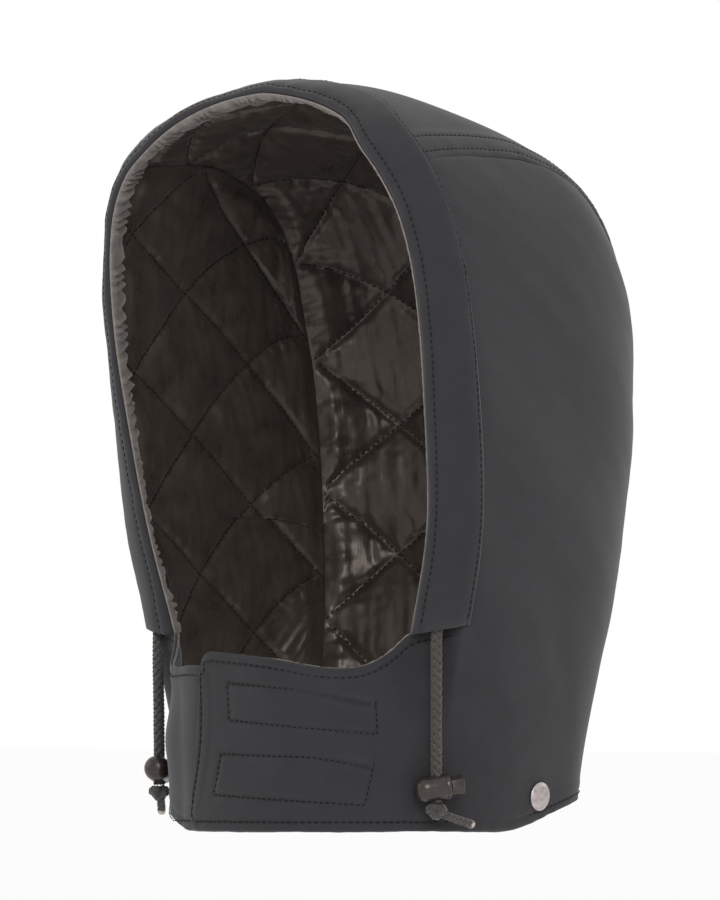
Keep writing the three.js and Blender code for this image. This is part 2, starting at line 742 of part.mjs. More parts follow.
for (const [side, sign] of [['left', 1], ['right', -1]]) {
  const seat = new THREE.Vector3(halfWidthAt(SNAP_SETBACK, SNAP_HEIGHT), SNAP_SETBACK, SNAP_HEIGHT);
  const out = outwardAt(seat);
  const cap = seat.clone().addScaledVector(out, SEAT_GAP);
  const socket = seat.clone().addScaledVector(out, -liningDepth - SEAT_GAP);
  const inward = out.clone().negate();
  const flip = (vector) => new THREE.Vector3(sign * vector.x, vector.y, vector.z);
  place(`snap_cap_${side}`, aimed(cleaned(turned(capOutline, 20)), flip(cap), flip(out)), material(METAL, 0.35, 0.9));
  place(
    `snap_socket_${side}`,
    aimed(cleaned(turned(socketOutline, 14)), flip(socket), flip(inward)),
    material(METAL, 0.4, 0.9),
  );
}

// Drawcord ends: out of each casing mouth, down through the cord lock to the knot

const CORD_ROUTES = {
  left: [
    [89.3, -62.2, 106.5], [88.6, -62.2, 103], [88.1, -62.4, 99], [87.9, -62.8, 94.5], [87.9, -62.9, 89],
    [87.9, -62.9, 82], [87.8, -62.8, 75], [87.7, -62.7, 67.5], [87.6, -62.6, 60], [87.5, -62.6, 52],
    [87.5, -62.5, 44], [87.5, -62.5, 36], [87.5, -62.5, 28.5], [87.5, -62.5, 21], [87.5, -62.5, 13.6],
  ],
  right: [
    [-89.3, -62.2, 106.5], [-88.6, -62.2, 103], [-88.1, -62.4, 99], [-87.9, -62.8, 94.5], [-87.9, -62.9, 89],
    [-87.9, -62.9, 83], [-87.9, -62.8, 77], [-87.8, -62.7, 70.5], [-87.7, -62.7, 64], [-87.6, -62.6, 57],
    [-87.6, -62.6, 50], [-87.5, -62.5, 43], [-87.5, -62.5, 36], [-87.5, -62.5, 29], [-87.5, -62.5, 21.6],
  ],
};
const LOCKS = {
  left: { height: 20.6, forward: [0.594, 0.792, 0.139] },
  right: { height: 28.6, forward: [-0.436, 0.887, -0.15] },
};
const TAILS = {
  left: [[0, 0, 0], [3.4, 5.0, -2.4], [5.4, 11.4, -4.4], [7.2, 18.4, -6.4]],
  right: [[0, 0, 0], [0.6, 0.4, -3.2], [0.4, 1.2, -6.0], [-0.4, 2.4, -9.0]],
};

function tube(points, diameter, steps) {
  const outline = new THREE.Shape();
  for (let k = 0; k < CORD_SIDES; k += 1) {
    const angle = (2 * Math.PI * (k + 0.5)) / CORD_SIDES;
    const x = (diameter / 2) * Math.cos(angle);
    const y = (diameter / 2) * Math.sin(angle);
    if (k === 0) outline.moveTo(x, y);
    else outline.lineTo(x, y);
  }
  const extrudePath = new THREE.CatmullRomCurve3(points.map((p) => new THREE.Vector3(...p)));
  return cleaned(new THREE.ExtrudeGeometry(outline, { steps, extrudePath, bevelEnabled: false }));
}

const wasm = await Module();
wasm.setup();

function solidOf(geometry) {
  const clean = cleaned(geometry);
  return new wasm.Manifold(new wasm.Mesh({
    numProp: 3,
    vertProperties: new Float32Array(clean.attributes.position.array),
    triVerts: new Uint32Array(clean.index.array),
  }));
}

function geometryFrom(solid) {
  const mesh = solid.getMesh();
  const geometry = new THREE.BufferGeometry();
  geometry.setAttribute('position', new THREE.BufferAttribute(mesh.vertProperties, 3));
  geometry.setIndex(new THREE.BufferAttribute(mesh.triVerts, 1));
  return geometry;
}

// The barrel's closed end: shares of its radius, and of the way from the cord to the tip
const BARREL_END = [
  { radius: 0.00, tip: 1.00 },
  { radius: 0.42, tip: 0.97 },
  { radius: 0.76, tip: 0.86 },
  { radius: 0.95, tip: 0.66 },
  { radius: 1.00, tip: 0.42 },
];
const barrelOutline = [
  ...BARREL_END.map((row) => [LOCK_RADIUS * row.radius, -LOCK_CLOSED_END * row.tip]),
  [LOCK_RADIUS, LOCK_OPEN_END - LOCK_EDGE],
  [LOCK_RADIUS - LOCK_EDGE, LOCK_OPEN_END],
  [LOCK_BORE_RADIUS, LOCK_OPEN_END],
  [LOCK_BORE_RADIUS, LOCK_OPEN_END - LOCK_BORE_DEPTH],
  [0, LOCK_OPEN_END - LOCK_BORE_DEPTH],
];
const plungerOutline = [
  [0, LOCK_OPEN_END - PLUNGER_STEM],
  [LOCK_BORE_RADIUS - SEAT_GAP, LOCK_OPEN_END - PLUNGER_STEM],
  [LOCK_BORE_RADIUS - SEAT_GAP, LOCK_OPEN_END + SEAT_GAP],
  [PLUNGER_RADIUS, LOCK_OPEN_END + SEAT_GAP],
  [PLUNGER_RADIUS, LOCK_OPEN_END + PLUNGER_LENGTH - PLUNGER_EDGE],
  [PLUNGER_RADIUS - PLUNGER_EDGE, LOCK_OPEN_END + PLUNGER_LENGTH],
  [0, LOCK_OPEN_END + PLUNGER_LENGTH],
];

function knot(tail) {
  const ring = KNOT_RADIUS * KNOT_RING_SHARE;
  const strand = KNOT_RADIUS - ring;
  const loop = (lean) => new THREE.TorusGeometry(ring, strand, KNOT_LOOP_SIDES, KNOT_LOOP_STEPS)
    .scale(1, 1, KNOT_HEIGHT / (strand * KNOT_SLIM)).rotateX(lean).rotateZ(lean * 2);
  const core = new THREE.SphereGeometry(KNOT_HEIGHT / 2, 8, 5).rotateX(Math.PI / 2);
  const loops = KNOT_LEANS.map((lean) => solidOf(loop(lean)));
  return loops.reduce((sum, part) => sum.add(part), solidOf(core))
    .add(solidOf(tube(tail, TAIL_DIAMETER, TAIL_STEPS)));
}

for (const side of ['left', 'right']) {
  const route = CORD_ROUTES[side];
  const { height, forward } = LOCKS[side];
  const foot = route[route.length - 1];
  place(`drawcord_${side}`, tube(route, CORD_DIAMETER, CORD_STEPS), material(CORD, 0.9));
  const hold = new THREE.Vector3(foot[0], foot[1], height);
  const axis = new THREE.Vector3(...forward).normalize();
  const barrel = solidOf(aimed(cleaned(turned(barrelOutline, 16)), hold, axis));
  const holeRadius = CORD_DIAMETER / 2 + CORD_CLEARANCE;
  const hole = new THREE.CylinderGeometry(holeRadius, holeRadius, LOCK_RADIUS * 4, 12)
    .rotateX(Math.PI / 2).translate(hold.x, hold.y, hold.z);
  place(`cord_lock_barrel_${side}`, geometryFrom(barrel.subtract(solidOf(hole))), material(PLASTIC, 0.3));
  place(
    `cord_lock_plunger_${side}`,
    aimed(cleaned(turned(plungerOutline, 12)), hold, axis),
    material(PLASTIC, 0.35),
  );
  const knotMiddle = [foot[0], foot[1], foot[2] - SEAT_GAP - KNOT_HEIGHT / 2];
  place(`cord_knot_${side}`, geometryFrom(knot(TAILS[side])).translate(...knotMiddle), material(CORD, 0.9));
}

// The origin lies where the lining of the crown rests on the head
const crownInside = stripPoint(2 + REST_SETBACK / edgeY(HOOD_HEIGHT), 0).z - liningDepth;
group.position.set(0, -REST_SETBACK, -(crownInside - REST_CLEARANCE));

export default group;
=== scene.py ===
import math

import bmesh
import bpy
import numpy as np
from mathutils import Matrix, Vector


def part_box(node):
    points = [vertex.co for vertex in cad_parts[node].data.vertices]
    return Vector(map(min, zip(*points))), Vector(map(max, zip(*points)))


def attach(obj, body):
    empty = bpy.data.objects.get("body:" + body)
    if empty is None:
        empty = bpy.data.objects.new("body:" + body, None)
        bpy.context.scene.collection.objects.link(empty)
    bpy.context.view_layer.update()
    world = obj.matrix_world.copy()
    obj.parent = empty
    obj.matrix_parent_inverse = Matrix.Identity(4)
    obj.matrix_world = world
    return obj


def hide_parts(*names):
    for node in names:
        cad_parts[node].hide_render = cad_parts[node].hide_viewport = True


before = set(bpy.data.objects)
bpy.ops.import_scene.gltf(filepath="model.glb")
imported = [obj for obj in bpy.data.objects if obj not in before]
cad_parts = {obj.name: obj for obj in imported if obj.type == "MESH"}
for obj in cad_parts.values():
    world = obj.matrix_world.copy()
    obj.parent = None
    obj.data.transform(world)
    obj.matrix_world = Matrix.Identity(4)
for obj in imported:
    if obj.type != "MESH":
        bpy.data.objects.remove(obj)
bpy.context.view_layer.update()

# A detachable work hood: panelled duck shell, quilted satin lining, drawcord casing, closing flap.
# Metres. The face opening looks towards -Y and the wearer's left is +X. The camera looks from the
# wearer's left front, level with the middle of the opening, from 6 m away.
VIEW_AZIMUTH = math.radians(38)
VIEW_ELEVATION = math.radians(-1)
VIEW_DISTANCE = 6.0
PICTURE_HEIGHT = 0.45
SENSOR = 36.0
AIM_HEIGHT = 0.1885
AIM_SIDE = -0.007

hem_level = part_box("side_panel_left")[0].z
REST_SETBACK = -0.030


def make_camera():
    across = Vector((math.cos(VIEW_AZIMUTH), math.sin(VIEW_AZIMUTH), 0))
    back = Vector((
        math.sin(VIEW_AZIMUTH) * math.cos(VIEW_ELEVATION),
        -math.cos(VIEW_AZIMUTH) * math.cos(VIEW_ELEVATION),
        math.sin(VIEW_ELEVATION),
    ))
    aim = Vector((0, -REST_SETBACK, hem_level + AIM_HEIGHT)) + across * AIM_SIDE
    data = bpy.data.cameras.new("camera")
    data.sensor_width = SENSOR
    data.lens = SENSOR * VIEW_DISTANCE / PICTURE_HEIGHT
    camera = bpy.data.objects.new("camera", data)
    bpy.context.scene.collection.objects.link(camera)
    camera.rotation_mode = "QUATERNION"
    camera.location = aim + back * VIEW_DISTANCE
    camera.rotation_quaternion = (-back).to_track_quat("-Z", "Y")
    bpy.context.scene.camera = camera


make_camera()

# Drawcords: round braided polyester cord, eight flat strands over a core, one end hanging out of
# each mouth of the casing. The routes are points in the hem's frame, from inside the casing.
CORD_DIAMETER = 0.0055
STRAND_WIDTH = 0.0022
STRAND_THICKNESS = 0.0015
BRAID_PITCH = 0.0165
STRAND_RISE = 0.36
STRAND_SIDES = 8
CORE_SIDES = 10
CORD_STEP = 0.0007
CORD_ROUTES = {
    "left": [
        (0.0893, -0.0622, 0.1065), (0.0886, -0.0622, 0.103), (0.0881, -0.0624, 0.099),
        (0.0879, -0.0628, 0.0945), (0.0879, -0.0629, 0.089), (0.0879, -0.0629, 0.082),
        (0.0878, -0.0628, 0.075), (0.0877, -0.0627, 0.0675), (0.0876, -0.0626, 0.060),
        (0.0875, -0.0626, 0.052), (0.0875, -0.0625, 0.044), (0.0875, -0.0625, 0.036),
        (0.0875, -0.0625, 0.0285), (0.0875, -0.0625, 0.021), (0.0875, -0.0625, 0.0136),
    ],
    "right": [
        (-0.0893, -0.0622, 0.1065), (-0.0886, -0.0622, 0.103), (-0.0881, -0.0624, 0.099),
        (-0.0879, -0.0628, 0.0945), (-0.0879, -0.0629, 0.089), (-0.0879, -0.0629, 0.083),
        (-0.0879, -0.0628, 0.077), (-0.0878, -0.0627, 0.0705), (-0.0877, -0.0627, 0.064),
        (-0.0876, -0.0626, 0.057), (-0.0876, -0.0626, 0.050), (-0.0875, -0.0625, 0.043),
        (-0.0875, -0.0625, 0.036), (-0.0875, -0.0625, 0.029), (-0.0875, -0.0625, 0.0216),
    ],
}


def in_frame(points):
    """Points given from the hem, moved to where the hood rests on the head."""
    return np.asarray(points, float) + (0, -REST_SETBACK, hem_level)


def unit(vectors):
    return vectors / np.maximum(np.linalg.norm(vectors, axis=-1, keepdims=True), 1e-12)


def smooth_line(points, step):
    """A smooth line through the points, with a point at each step of its length."""
    points = np.asarray(points, float)
    padded = np.vstack([2 * points[0] - points[1], points, 2 * points[-1] - points[-2]])
    fine = []
    for k in range(len(points) - 1):
        a, b, c, d = padded[k:k + 4]
        t = np.linspace(0, 1, 24, endpoint=False)[:, None]
        fine.append(0.5 * (2 * b + (c - a) * t + (2 * a - 5 * b + 4 * c - d) * t**2
                           + (3 * b - a - 3 * c + d) * t**3))
    fine.append(points[-1:])
    fine = np.vstack(fine)
    run = np.r_[0, np.cumsum(np.linalg.norm(np.diff(fine, axis=0), axis=1))]
    stops = np.linspace(0, run[-1], max(int(round(run[-1] / step)), 4) + 1)
    return np.stack([np.interp(stops, run, fine[:, axis]) for axis in range(3)], axis=1), stops


def carried_frames(line, side=(1.0, 0.3, 0.2)):
    """A line's direction and two directions square to it, carried along without twisting."""
    along = unit(np.gradient(line, axis=0))
    one = np.zeros_like(line)
    start = np.cross(along[0], side)
    one[0] = start / np.linalg.norm(start)
    for k in range(1, len(line)):
        carried = one[k - 1] - along[k] * np.dot(one[k - 1], along[k])
        one[k] = carried / np.linalg.norm(carried)
    return along, one, np.cross(along, one)


def grid_faces(index, closed=False):
    """Four-cornered faces between the neighbouring entries of a grid of point numbers."""
    if closed:
        index = np.hstack([index, index[:, :1]])
    corners = [index[:-1, :-1], index[:-1, 1:], index[1:, 1:], index[1:, :-1]]
    return np.stack(corners, axis=-1).reshape(-1, 4)


def grid_marks(u, v, closed=False):
    """The UV of each corner of those faces, from the grid's own u and v."""
    u = np.asarray(u, float)
    v = np.asarray(v, float)
    if closed:
        u = np.hstack([u, u[:, -1:] * 2 - u[:, -2:-1]])
        v = np.hstack([v, v[:, -1:]])
    uv = np.stack([u, v], axis=-1)
    return np.stack([uv[:-1, :-1], uv[:-1, 1:], uv[1:, 1:], uv[1:, :-1]], axis=2).reshape(-1, 4, 2)


NO_CORNER = -1


def make_piece(name, points, faces, marks, surface, smooth=True):
    """A mesh object riding on the hood's one body. Faces have four corners, or three and a NO_CORNER."""
    faces = np.asarray(faces, np.int32)
    real = faces != NO_CORNER
    corners = real.sum(axis=1).astype(np.int32)
    mesh = bpy.data.meshes.new(name)
    mesh.vertices.add(len(points))
    mesh.vertices.foreach_set("co", np.asarray(points, np.float32).ravel())
    mesh.loops.add(int(corners.sum()))
    mesh.loops.foreach_set("vertex_index", faces[real])
    mesh.polygons.add(len(faces))
    mesh.polygons.foreach_set("loop_start", np.r_[0, np.cumsum(corners)[:-1]].astype(np.int32))
    mesh.polygons.foreach_set("loop_total", corners)
    mesh.update(calc_edges=True)
    layer = mesh.uv_layers.new(name="grain")
    layer.data.foreach_set("uv", np.asarray(marks, np.float32)[real].ravel())
    mesh.validate()
    mesh.polygons.foreach_set("use_smooth", np.full(len(mesh.polygons), smooth))
    mesh.materials.append(surface)
    piece = bpy.data.objects.new(name, mesh)
    bpy.context.scene.collection.objects.link(piece)
    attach(piece, "root")
    return piece


def swept(line, frames, width, thickness, sides):
    """Rings of points round a line, of a width and a thickness."""
    _, one, two = frames
    turn = np.linspace(0, 2 * math.pi, sides, endpoint=False)
    spread = np.cos(turn)[None, :, None] * width / 2 * one[:, None, :]
    lift = np.sin(turn)[None, :, None] * thickness / 2 * two[:, None, :]
    return line[:, None, :] + spread + lift


class Parts:
    """Gathers the points, faces and marks of many small forms into one mesh."""

    def __init__(self):
        self.points = []
        self.faces = []
        self.marks = []
        self.count = 0

    def add_tube(self, ring, run, girth):
        steps, sides, _ = ring.shape
        index = np.arange(steps * sides).reshape(steps, sides) + self.count
        u = np.tile(np.linspace(0, girth, sides, endpoint=False), (steps, 1))
        v = np.tile(np.asarray(run)[:, None], (1, sides))
        self.points.append(ring.reshape(-1, 3))
        self.faces.append(grid_faces(index, closed=True))
        self.marks.append(grid_marks(u, v, closed=True))
        self.count += steps * sides
        self.close(index[0][::-1])
        self.close(index[-1])

    def close(self, ring):
        """Closes a ring with an even number of points by faces straight across it."""
        half = len(ring) // 2
        for k in range(half):
            cap = [ring[k], ring[k + 1], ring[-k - 1], ring[-k]]
            if k == 0:
                cap = [ring[0], ring[1], ring[-1], NO_CORNER]
            if k == half - 1:
                cap = [ring[k], ring[k + 1], ring[k + 2], NO_CORNER]
            self.faces.append(np.array([cap]))
            self.marks.append(np.zeros((1, 4, 2)))

    def piece(self, name, surface, slot):
        return make_piece(
            name, np.vstack(self.points), np.vstack(self.faces), np.vstack(self.marks), surface
        )


def braid(parts, line, run, diameter, pitch, width, thickness):
    """Eight flat strands, four turning each way, passing over and under one another."""
    frames = carried_frames(line)
    _, one, two = frames
    middle = diameter / 2 - thickness
    core = swept(line, frames, 2 * middle, 2 * middle, CORE_SIDES)
    parts.add_tube(core, run, math.pi * diameter)
    for way in (1, -1):
        for strand in range(4):
            angle = way * 2 * math.pi * run / pitch + strand * math.pi / 2
            wave = way * np.cos(8 * math.pi * run / pitch)
            radius = middle + thickness * (STRAND_RISE + STRAND_RISE * wave)
            out = np.cos(angle)[:, None] * one + np.sin(angle)[:, None] * two
            place = line + out * radius[:, None]
            strand_along = unit(np.gradient(place, axis=0))
            across = unit(np.cross(out, strand_along))
            ring = swept(place, (strand_along, across, out), width, thickness, STRAND_SIDES)
            parts.add_tube(ring, run, width * 2)


def new_material(name):
    material = bpy.data.materials.new(name)
    material.use_nodes = True
    tree = material.node_tree
    return material, tree, tree.nodes["Principled BSDF"]


def add_node(tree, kind, **settings):
    node = tree.nodes.new(kind)
    for key, value in settings.items():
        setattr(node, key, value)
    return node


def feed(tree, target, socket, value):
    """Sets a socket, or links it where the value is another node's output."""
    if isinstance(value, bpy.types.NodeSocket):
        tree.links.new(value, target.inputs[socket])
    else:
        target.inputs[socket].default_value = value


def mixed(tree, share, one, two):
    """A colour between two others."""
    node = add_node(tree, "ShaderNodeMix", data_type="RGBA")
    feed(tree, node, 0, share)
    feed(tree, node, 6, one)
    feed(tree, node, 7, two)
    return node.outputs[2]


def ranged(tree, value, low, high, to_low, to_high):
    node = add_node(tree, "ShaderNodeMapRange")
    for socket, part in enumerate((value, low, high, to_low, to_high)):
        feed(tree, node, socket, part)
    return node.outputs[0]


def computed(tree, operation, one, two):
    node = add_node(tree, "ShaderNodeMath", operation=operation)
    feed(tree, node, 0, one)
    feed(tree, node, 1, two)
    return node.outputs[0]


def grain_place(tree, scale=(1, 1, 1), turn=0.0):
    """The cloth's own coordinates, in metres across and along the grain, stretched and turned."""
    uv = add_node(tree, "ShaderNodeUVMap", uv_map="grain")
    mapping = add_node(tree, "ShaderNodeMapping")
    mapping.inputs["Scale"].default_value = scale
    mapping.inputs["Rotation"].default_value = (0, 0, turn)
    feed(tree, mapping, "Vector", uv.outputs[0])
    return mapping.outputs[0]


def geometry(tree, output):
    return add_node(tree, "ShaderNodeNewGeometry").outputs[output]


def noise(tree, place, scale, detail=2, roughness=0.5):
    node = add_node(tree, "ShaderNodeTexNoise")
    feed(tree, node, "Vector", place)
    for socket, value in (("Scale", scale), ("Detail", detail), ("Roughness", roughness)):
        feed(tree, node, socket, value)
    return node.outputs[0]


def preset(shader, values):
    for socket, value in values.items():
        shader.inputs[socket].default_value = value


def bumped(tree, shader, height, strength, distance):
    """Lets a height raise the surface under a shader."""
    bump = add_node(tree, "ShaderNodeBump")
    preset(bump, {"Strength": strength, "Distance": distance})
    feed(tree, bump, "Height", height)
    feed(tree, shader, "Normal", bump.outputs[0])


def cord_material():
    material, tree, shader = new_material("braided_cord")
    fibre = add_node(tree, "ShaderNodeTexWave", bands_direction="X")
    feed(tree, fibre, "Vector", grain_place(tree, (1, 0.35, 1)))
    preset(fibre, {"Scale": 620, "Distortion": 1.2, "Detail": 2})
    speck = noise(tree, geometry(tree, "Position"), 900, 3)
    tint = mixed(tree, speck, (0.012, 0.0096, 0.0077, 1), (0.040, 0.0332, 0.0268, 1))
    depth = ranged(tree, fibre.outputs[1], 0, 1, 0.0, 0.55)
    shade = mixed(tree, depth, (0.004, 0.0033, 0.0027, 1), tint)
    ridge = ranged(tree, geometry(tree, "Pointiness"), 0.47, 0.56, 0, 1)
    feed(tree, shader, "Base Color", mixed(tree, ridge, shade, tint))
    preset(shader, {"Roughness": 0.72, "Sheen Weight": 0.25, "Sheen Roughness": 0.4})
    bumped(tree, shader, fibre.outputs[1], 0.6, 0.0002)
    return material


cord_surface = cord_material()
cord_lines = {}
for side, route in CORD_ROUTES.items():
    line, run = smooth_line(in_frame(route), CORD_STEP)
    parts = Parts()
    braid(parts, line, run, CORD_DIAMETER, BRAID_PITCH, STRAND_WIDTH, STRAND_THICKNESS)
    cord_piece = parts.piece(f"braided_cord_{side}", cord_surface, "drawcord_braid")
    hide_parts(f"drawcord_{side}")
    cord_lines[side] = (cord_piece, line, run)

# Stopper knots: one overhand knot of the same cord under each lock, pulled tight, with a short
# tail whose end is melted pale so that the braid doesn't fray.
KNOT_WIDTH = 0.0112
KNOT_HEIGHT = 0.0084
KNOT_CORD = 0.0042
TAIL_CORD = 0.0040
KNOT_DROP = 0.00435
KNOT_SPIN = 0.66
KNOT_STEP = 0.0006
KNOT_BRAID = dict(diameter=KNOT_CORD, pitch=0.0146, width=0.0021, thickness=0.0011)
TAIL_BRAID = dict(diameter=TAIL_CORD, pitch=0.0138, width=0.0020, thickness=0.0010)
TAILS = {
    "left": [
        (0, 0, 0), (0.0034, 0.0050, -0.0024), (0.0054, 0.0114, -0.0044), (0.0072, 0.0184, -0.0064),
    ],
    "right": [
        (0, 0, 0), (0.0006, 0.0004, -0.0032), (0.0004, 0.0012, -0.0060), (-0.0004, 0.0024, -0.0090),
    ],
}
MELT_LENGTH = 0.0022


def melted_material():
    material, tree, shader = new_material("melted_cord_end")
    speck = add_node(tree, "ShaderNodeTexNoise")
    preset(speck, {"Scale": 700})
    tint = mixed(tree, speck.outputs[0], (0.20, 0.17, 0.15, 1), (0.42, 0.38, 0.34, 1))
    feed(tree, shader, "Base Color", tint)
    preset(shader, {"Roughness": 0.45})
    return material


def knot_line(middle, spin):
    """The loop of an overhand knot, pulled tight: a trefoil turned to face sideways."""
    t = np.linspace(0, 2 * math.pi, 120)
    x = np.sin(t) + 2 * np.sin(2 * t)
    y = np.cos(t) - 2 * np.cos(2 * t)
    z = -np.sin(3 * t)
    wide = (KNOT_WIDTH - KNOT_CORD) / 2 / 3
    high = (KNOT_HEIGHT - KNOT_CORD) / 2 / 3
    shape = np.stack([x * wide, z * 3 * wide * 0.8, y * high], axis=1)
    c = math.cos(spin)
    s = math.sin(spin)
    x, y, z = shape.T
    return np.stack([x * c - y * s, x * s + y * c, z], axis=1) + middle


melt_surface = melted_material()
for side, tail in TAILS.items():
    foot = in_frame([CORD_ROUTES[side][-1]])[0]
    middle = foot - (0, 0, KNOT_DROP)
    parts = Parts()
    loop, run = smooth_line(knot_line(middle, KNOT_SPIN)[2:-2], KNOT_STEP)
    braid(parts, loop, run, **KNOT_BRAID)
    tail_line, run = smooth_line(np.asarray(tail) + middle, KNOT_STEP)
    braid(parts, tail_line, run, **TAIL_BRAID)
    knot_piece = parts.piece(f"stopper_knot_{side}", cord_surface, "drawcord_braid")
    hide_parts(f"cord_knot_{side}")
    end = tail_line[-1]
    away = unit(tail_line[-1] - tail_line[-3])
    melt_stops = np.linspace(-0.3, 1, 9)
    melt_line = end + np.outer(melt_stops * MELT_LENGTH, away)
    ends = carried_frames(melt_line)
    melt = Parts()
    ring = swept(melt_line, ends, 1, 1, 12)
    swell = TAIL_CORD * 0.52 * np.sqrt(np.clip(1 - (np.maximum(melt_stops, 0)) ** 2.4, 0.02, 1))
    ring = melt_line[:, None, :] + (ring - melt_line[:, None, :]) * (2 * swell)[:, None, None]
    melt.add_tube(ring, melt_stops * MELT_LENGTH, 0.012)
    melt_piece = melt.piece(f"melted_end_{side}", melt_surface, "drawcord_braid")

# Cord locks: moulded barrels with a round closed end, drilled across for the cord, each with a
# sprung push button whose head has eight flats.
LOCK_RADIUS = 0.0065
LOCK_CLOSED_END = 0.011
LOCK_OPEN_END = 0.0065
LOCK_BORE_RADIUS = 0.0044
LOCK_BORE_DEPTH = 0.0023
PLUNGER_RADIUS = 0.0052
PLUNGER_LENGTH = 0.0076
PLUNGER_STEM = 0.0019
CORD_CLEARANCE = 0.00035
BARREL_SIDES = 48
PLUNGER_SIDES = 64
PLUNGER_FLATS = 8
AXIS_RADIUS = 0.00002
LOCKS = {
    "left": {"height": 0.0206, "forward": (0.594, 0.792, 0.139)},
    "right": {"height": 0.0286, "forward": (-0.436, 0.887, -0.15)},
}


def lock_material():
    material, tree, shader = new_material("moulded_lock")
    speck = noise(tree, geometry(tree, "Position"), 420, 4)
    # Painted highlight: the barrel's and button's convex edges (high pointiness) are mixed towards a paler
    # brown, as where they catch the light.
    edge = ranged(tree, geometry(tree, "Pointiness"), 0.5, 0.6, 0, 1)
    base = mixed(tree, speck, (0.0105, 0.0085, 0.0076, 1), (0.019, 0.0160, 0.0142, 1))
    feed(tree, shader, "Base Color", mixed(tree, edge, base, (0.036, 0.031, 0.028, 1)))
    feed(tree, shader, "Roughness", ranged(tree, speck, 0.3, 0.7, 0.20, 0.32))
    preset(shader, {"Specular IOR Level": 0.42, "Specular Tint": (1.0, 0.88, 0.82, 1)})
    bumped(tree, shader, speck, 0.12, 0.0002)
    return material


def turned_solid(outline, sides, flats=0):
    """Rings of points from an outline of radius and height, with flats pressed into the side."""
    outline = np.asarray(outline, float)
    turn = np.linspace(0, 2 * math.pi, sides, endpoint=False)
    shrink = np.ones(sides)
    if flats:
        within = (turn + math.pi / flats) % (2 * math.pi / flats) - math.pi / flats
        shrink = math.cos(math.pi / flats) / np.cos(within)
    radius = outline[:, 0][:, None] * np.where(outline[:, 2][:, None] > 0, shrink, 1)
    return np.stack([
        radius * np.cos(turn), radius * np.sin(turn), np.repeat(outline[:, 1][:, None], sides, axis=1)
    ], axis=-1)


def aimed(points, place, direction):
    turn = Vector((0, 0, 1)).rotation_difference(Vector(direction)).to_matrix()
    return points @ np.array(turn).T + np.asarray(place)


def arc(centre, radius, start, end, count, mark=0):
    turn = np.radians(np.linspace(start, end, count))
    return [(centre[0] + radius * math.cos(a), centre[1] + radius * math.sin(a), mark) for a in turn]


def barrel_outline():
    closed = []
    for a in np.radians(np.linspace(-90, 0, 14)):
        closed.append((
            max(LOCK_RADIUS * math.cos(a) ** 0.8, AXIS_RADIUS),
            -LOCK_CLOSED_END * 0.42 + LOCK_CLOSED_END * 0.58 * math.sin(a),
            0,
        ))
    lip = 0.0007
    groove = LOCK_OPEN_END - 0.0021
    body = [(LOCK_RADIUS, 0, 0), (LOCK_RADIUS, groove - 0.0003, 0)]
    body += [(LOCK_RADIUS - 0.00025, groove, 0), (LOCK_RADIUS, groove + 0.0003, 0)]
    rim = arc((LOCK_RADIUS - lip, LOCK_OPEN_END - lip), lip, 0, 90, 5)
    mouth = [
        (LOCK_BORE_RADIUS + 0.0002, LOCK_OPEN_END, 0),
        (LOCK_BORE_RADIUS, LOCK_OPEN_END - 0.0003, 0),
        (LOCK_BORE_RADIUS, LOCK_OPEN_END - LOCK_BORE_DEPTH, 0),
        (AXIS_RADIUS, LOCK_OPEN_END - LOCK_BORE_DEPTH, 0),
    ]
    return closed + body + rim + mouth


def plunger_outline():
    stem = LOCK_BORE_RADIUS - CORD_CLEARANCE
    foot = LOCK_OPEN_END - PLUNGER_STEM
    head = LOCK_OPEN_END + CORD_CLEARANCE
    top = LOCK_OPEN_END + PLUNGER_LENGTH
    edge = 0.0006
    lower = [(AXIS_RADIUS, foot, 0), (stem, foot, 0), (stem, head, 0), (PLUNGER_RADIUS - edge, head, 1)]
    rounded = arc((PLUNGER_RADIUS - edge, head + edge), edge, -60, 0, 4, 1)
    upper = arc((PLUNGER_RADIUS - edge, top - 0.0012), edge, 0, 50, 4, 1)
    crown = [
        (PLUNGER_RADIUS * 0.72, top - 0.0003, 1),
        (PLUNGER_RADIUS * 0.66, top, 1),
        (PLUNGER_RADIUS * 0.42, top, 0),
        (PLUNGER_RADIUS * 0.36, top - 0.0003, 0),
        (AXIS_RADIUS, top - 0.0003, 0),
    ]
    return lower + rounded + upper + crown


def cut_hole(piece, place, radius):
    """Drills the cord's hole upright through the barrel."""
    cutter_mesh = bpy.data.meshes.new("cord_hole")
    form = bmesh.new()
    bmesh.ops.create_cone(
        form, cap_ends=True, segments=40, radius1=radius, radius2=radius, depth=LOCK_RADIUS * 5
    )
    form.to_mesh(cutter_mesh)
    form.free()
    cutter = bpy.data.objects.new("cord_hole", cutter_mesh)
    bpy.context.scene.collection.objects.link(cutter)
    cutter.location = place
    bpy.context.view_layer.update()
    cut = piece.modifiers.new("hole", "BOOLEAN")
    cut.operation = "DIFFERENCE"
    cut.solver = "EXACT"
    cut.object = cutter
    bpy.context.view_layer.update()
    made = bpy.data.meshes.new_from_object(piece.evaluated_get(bpy.context.evaluated_depsgraph_get()))
    piece.modifiers.clear()
    piece.data = made
    bpy.data.objects.remove(cutter)


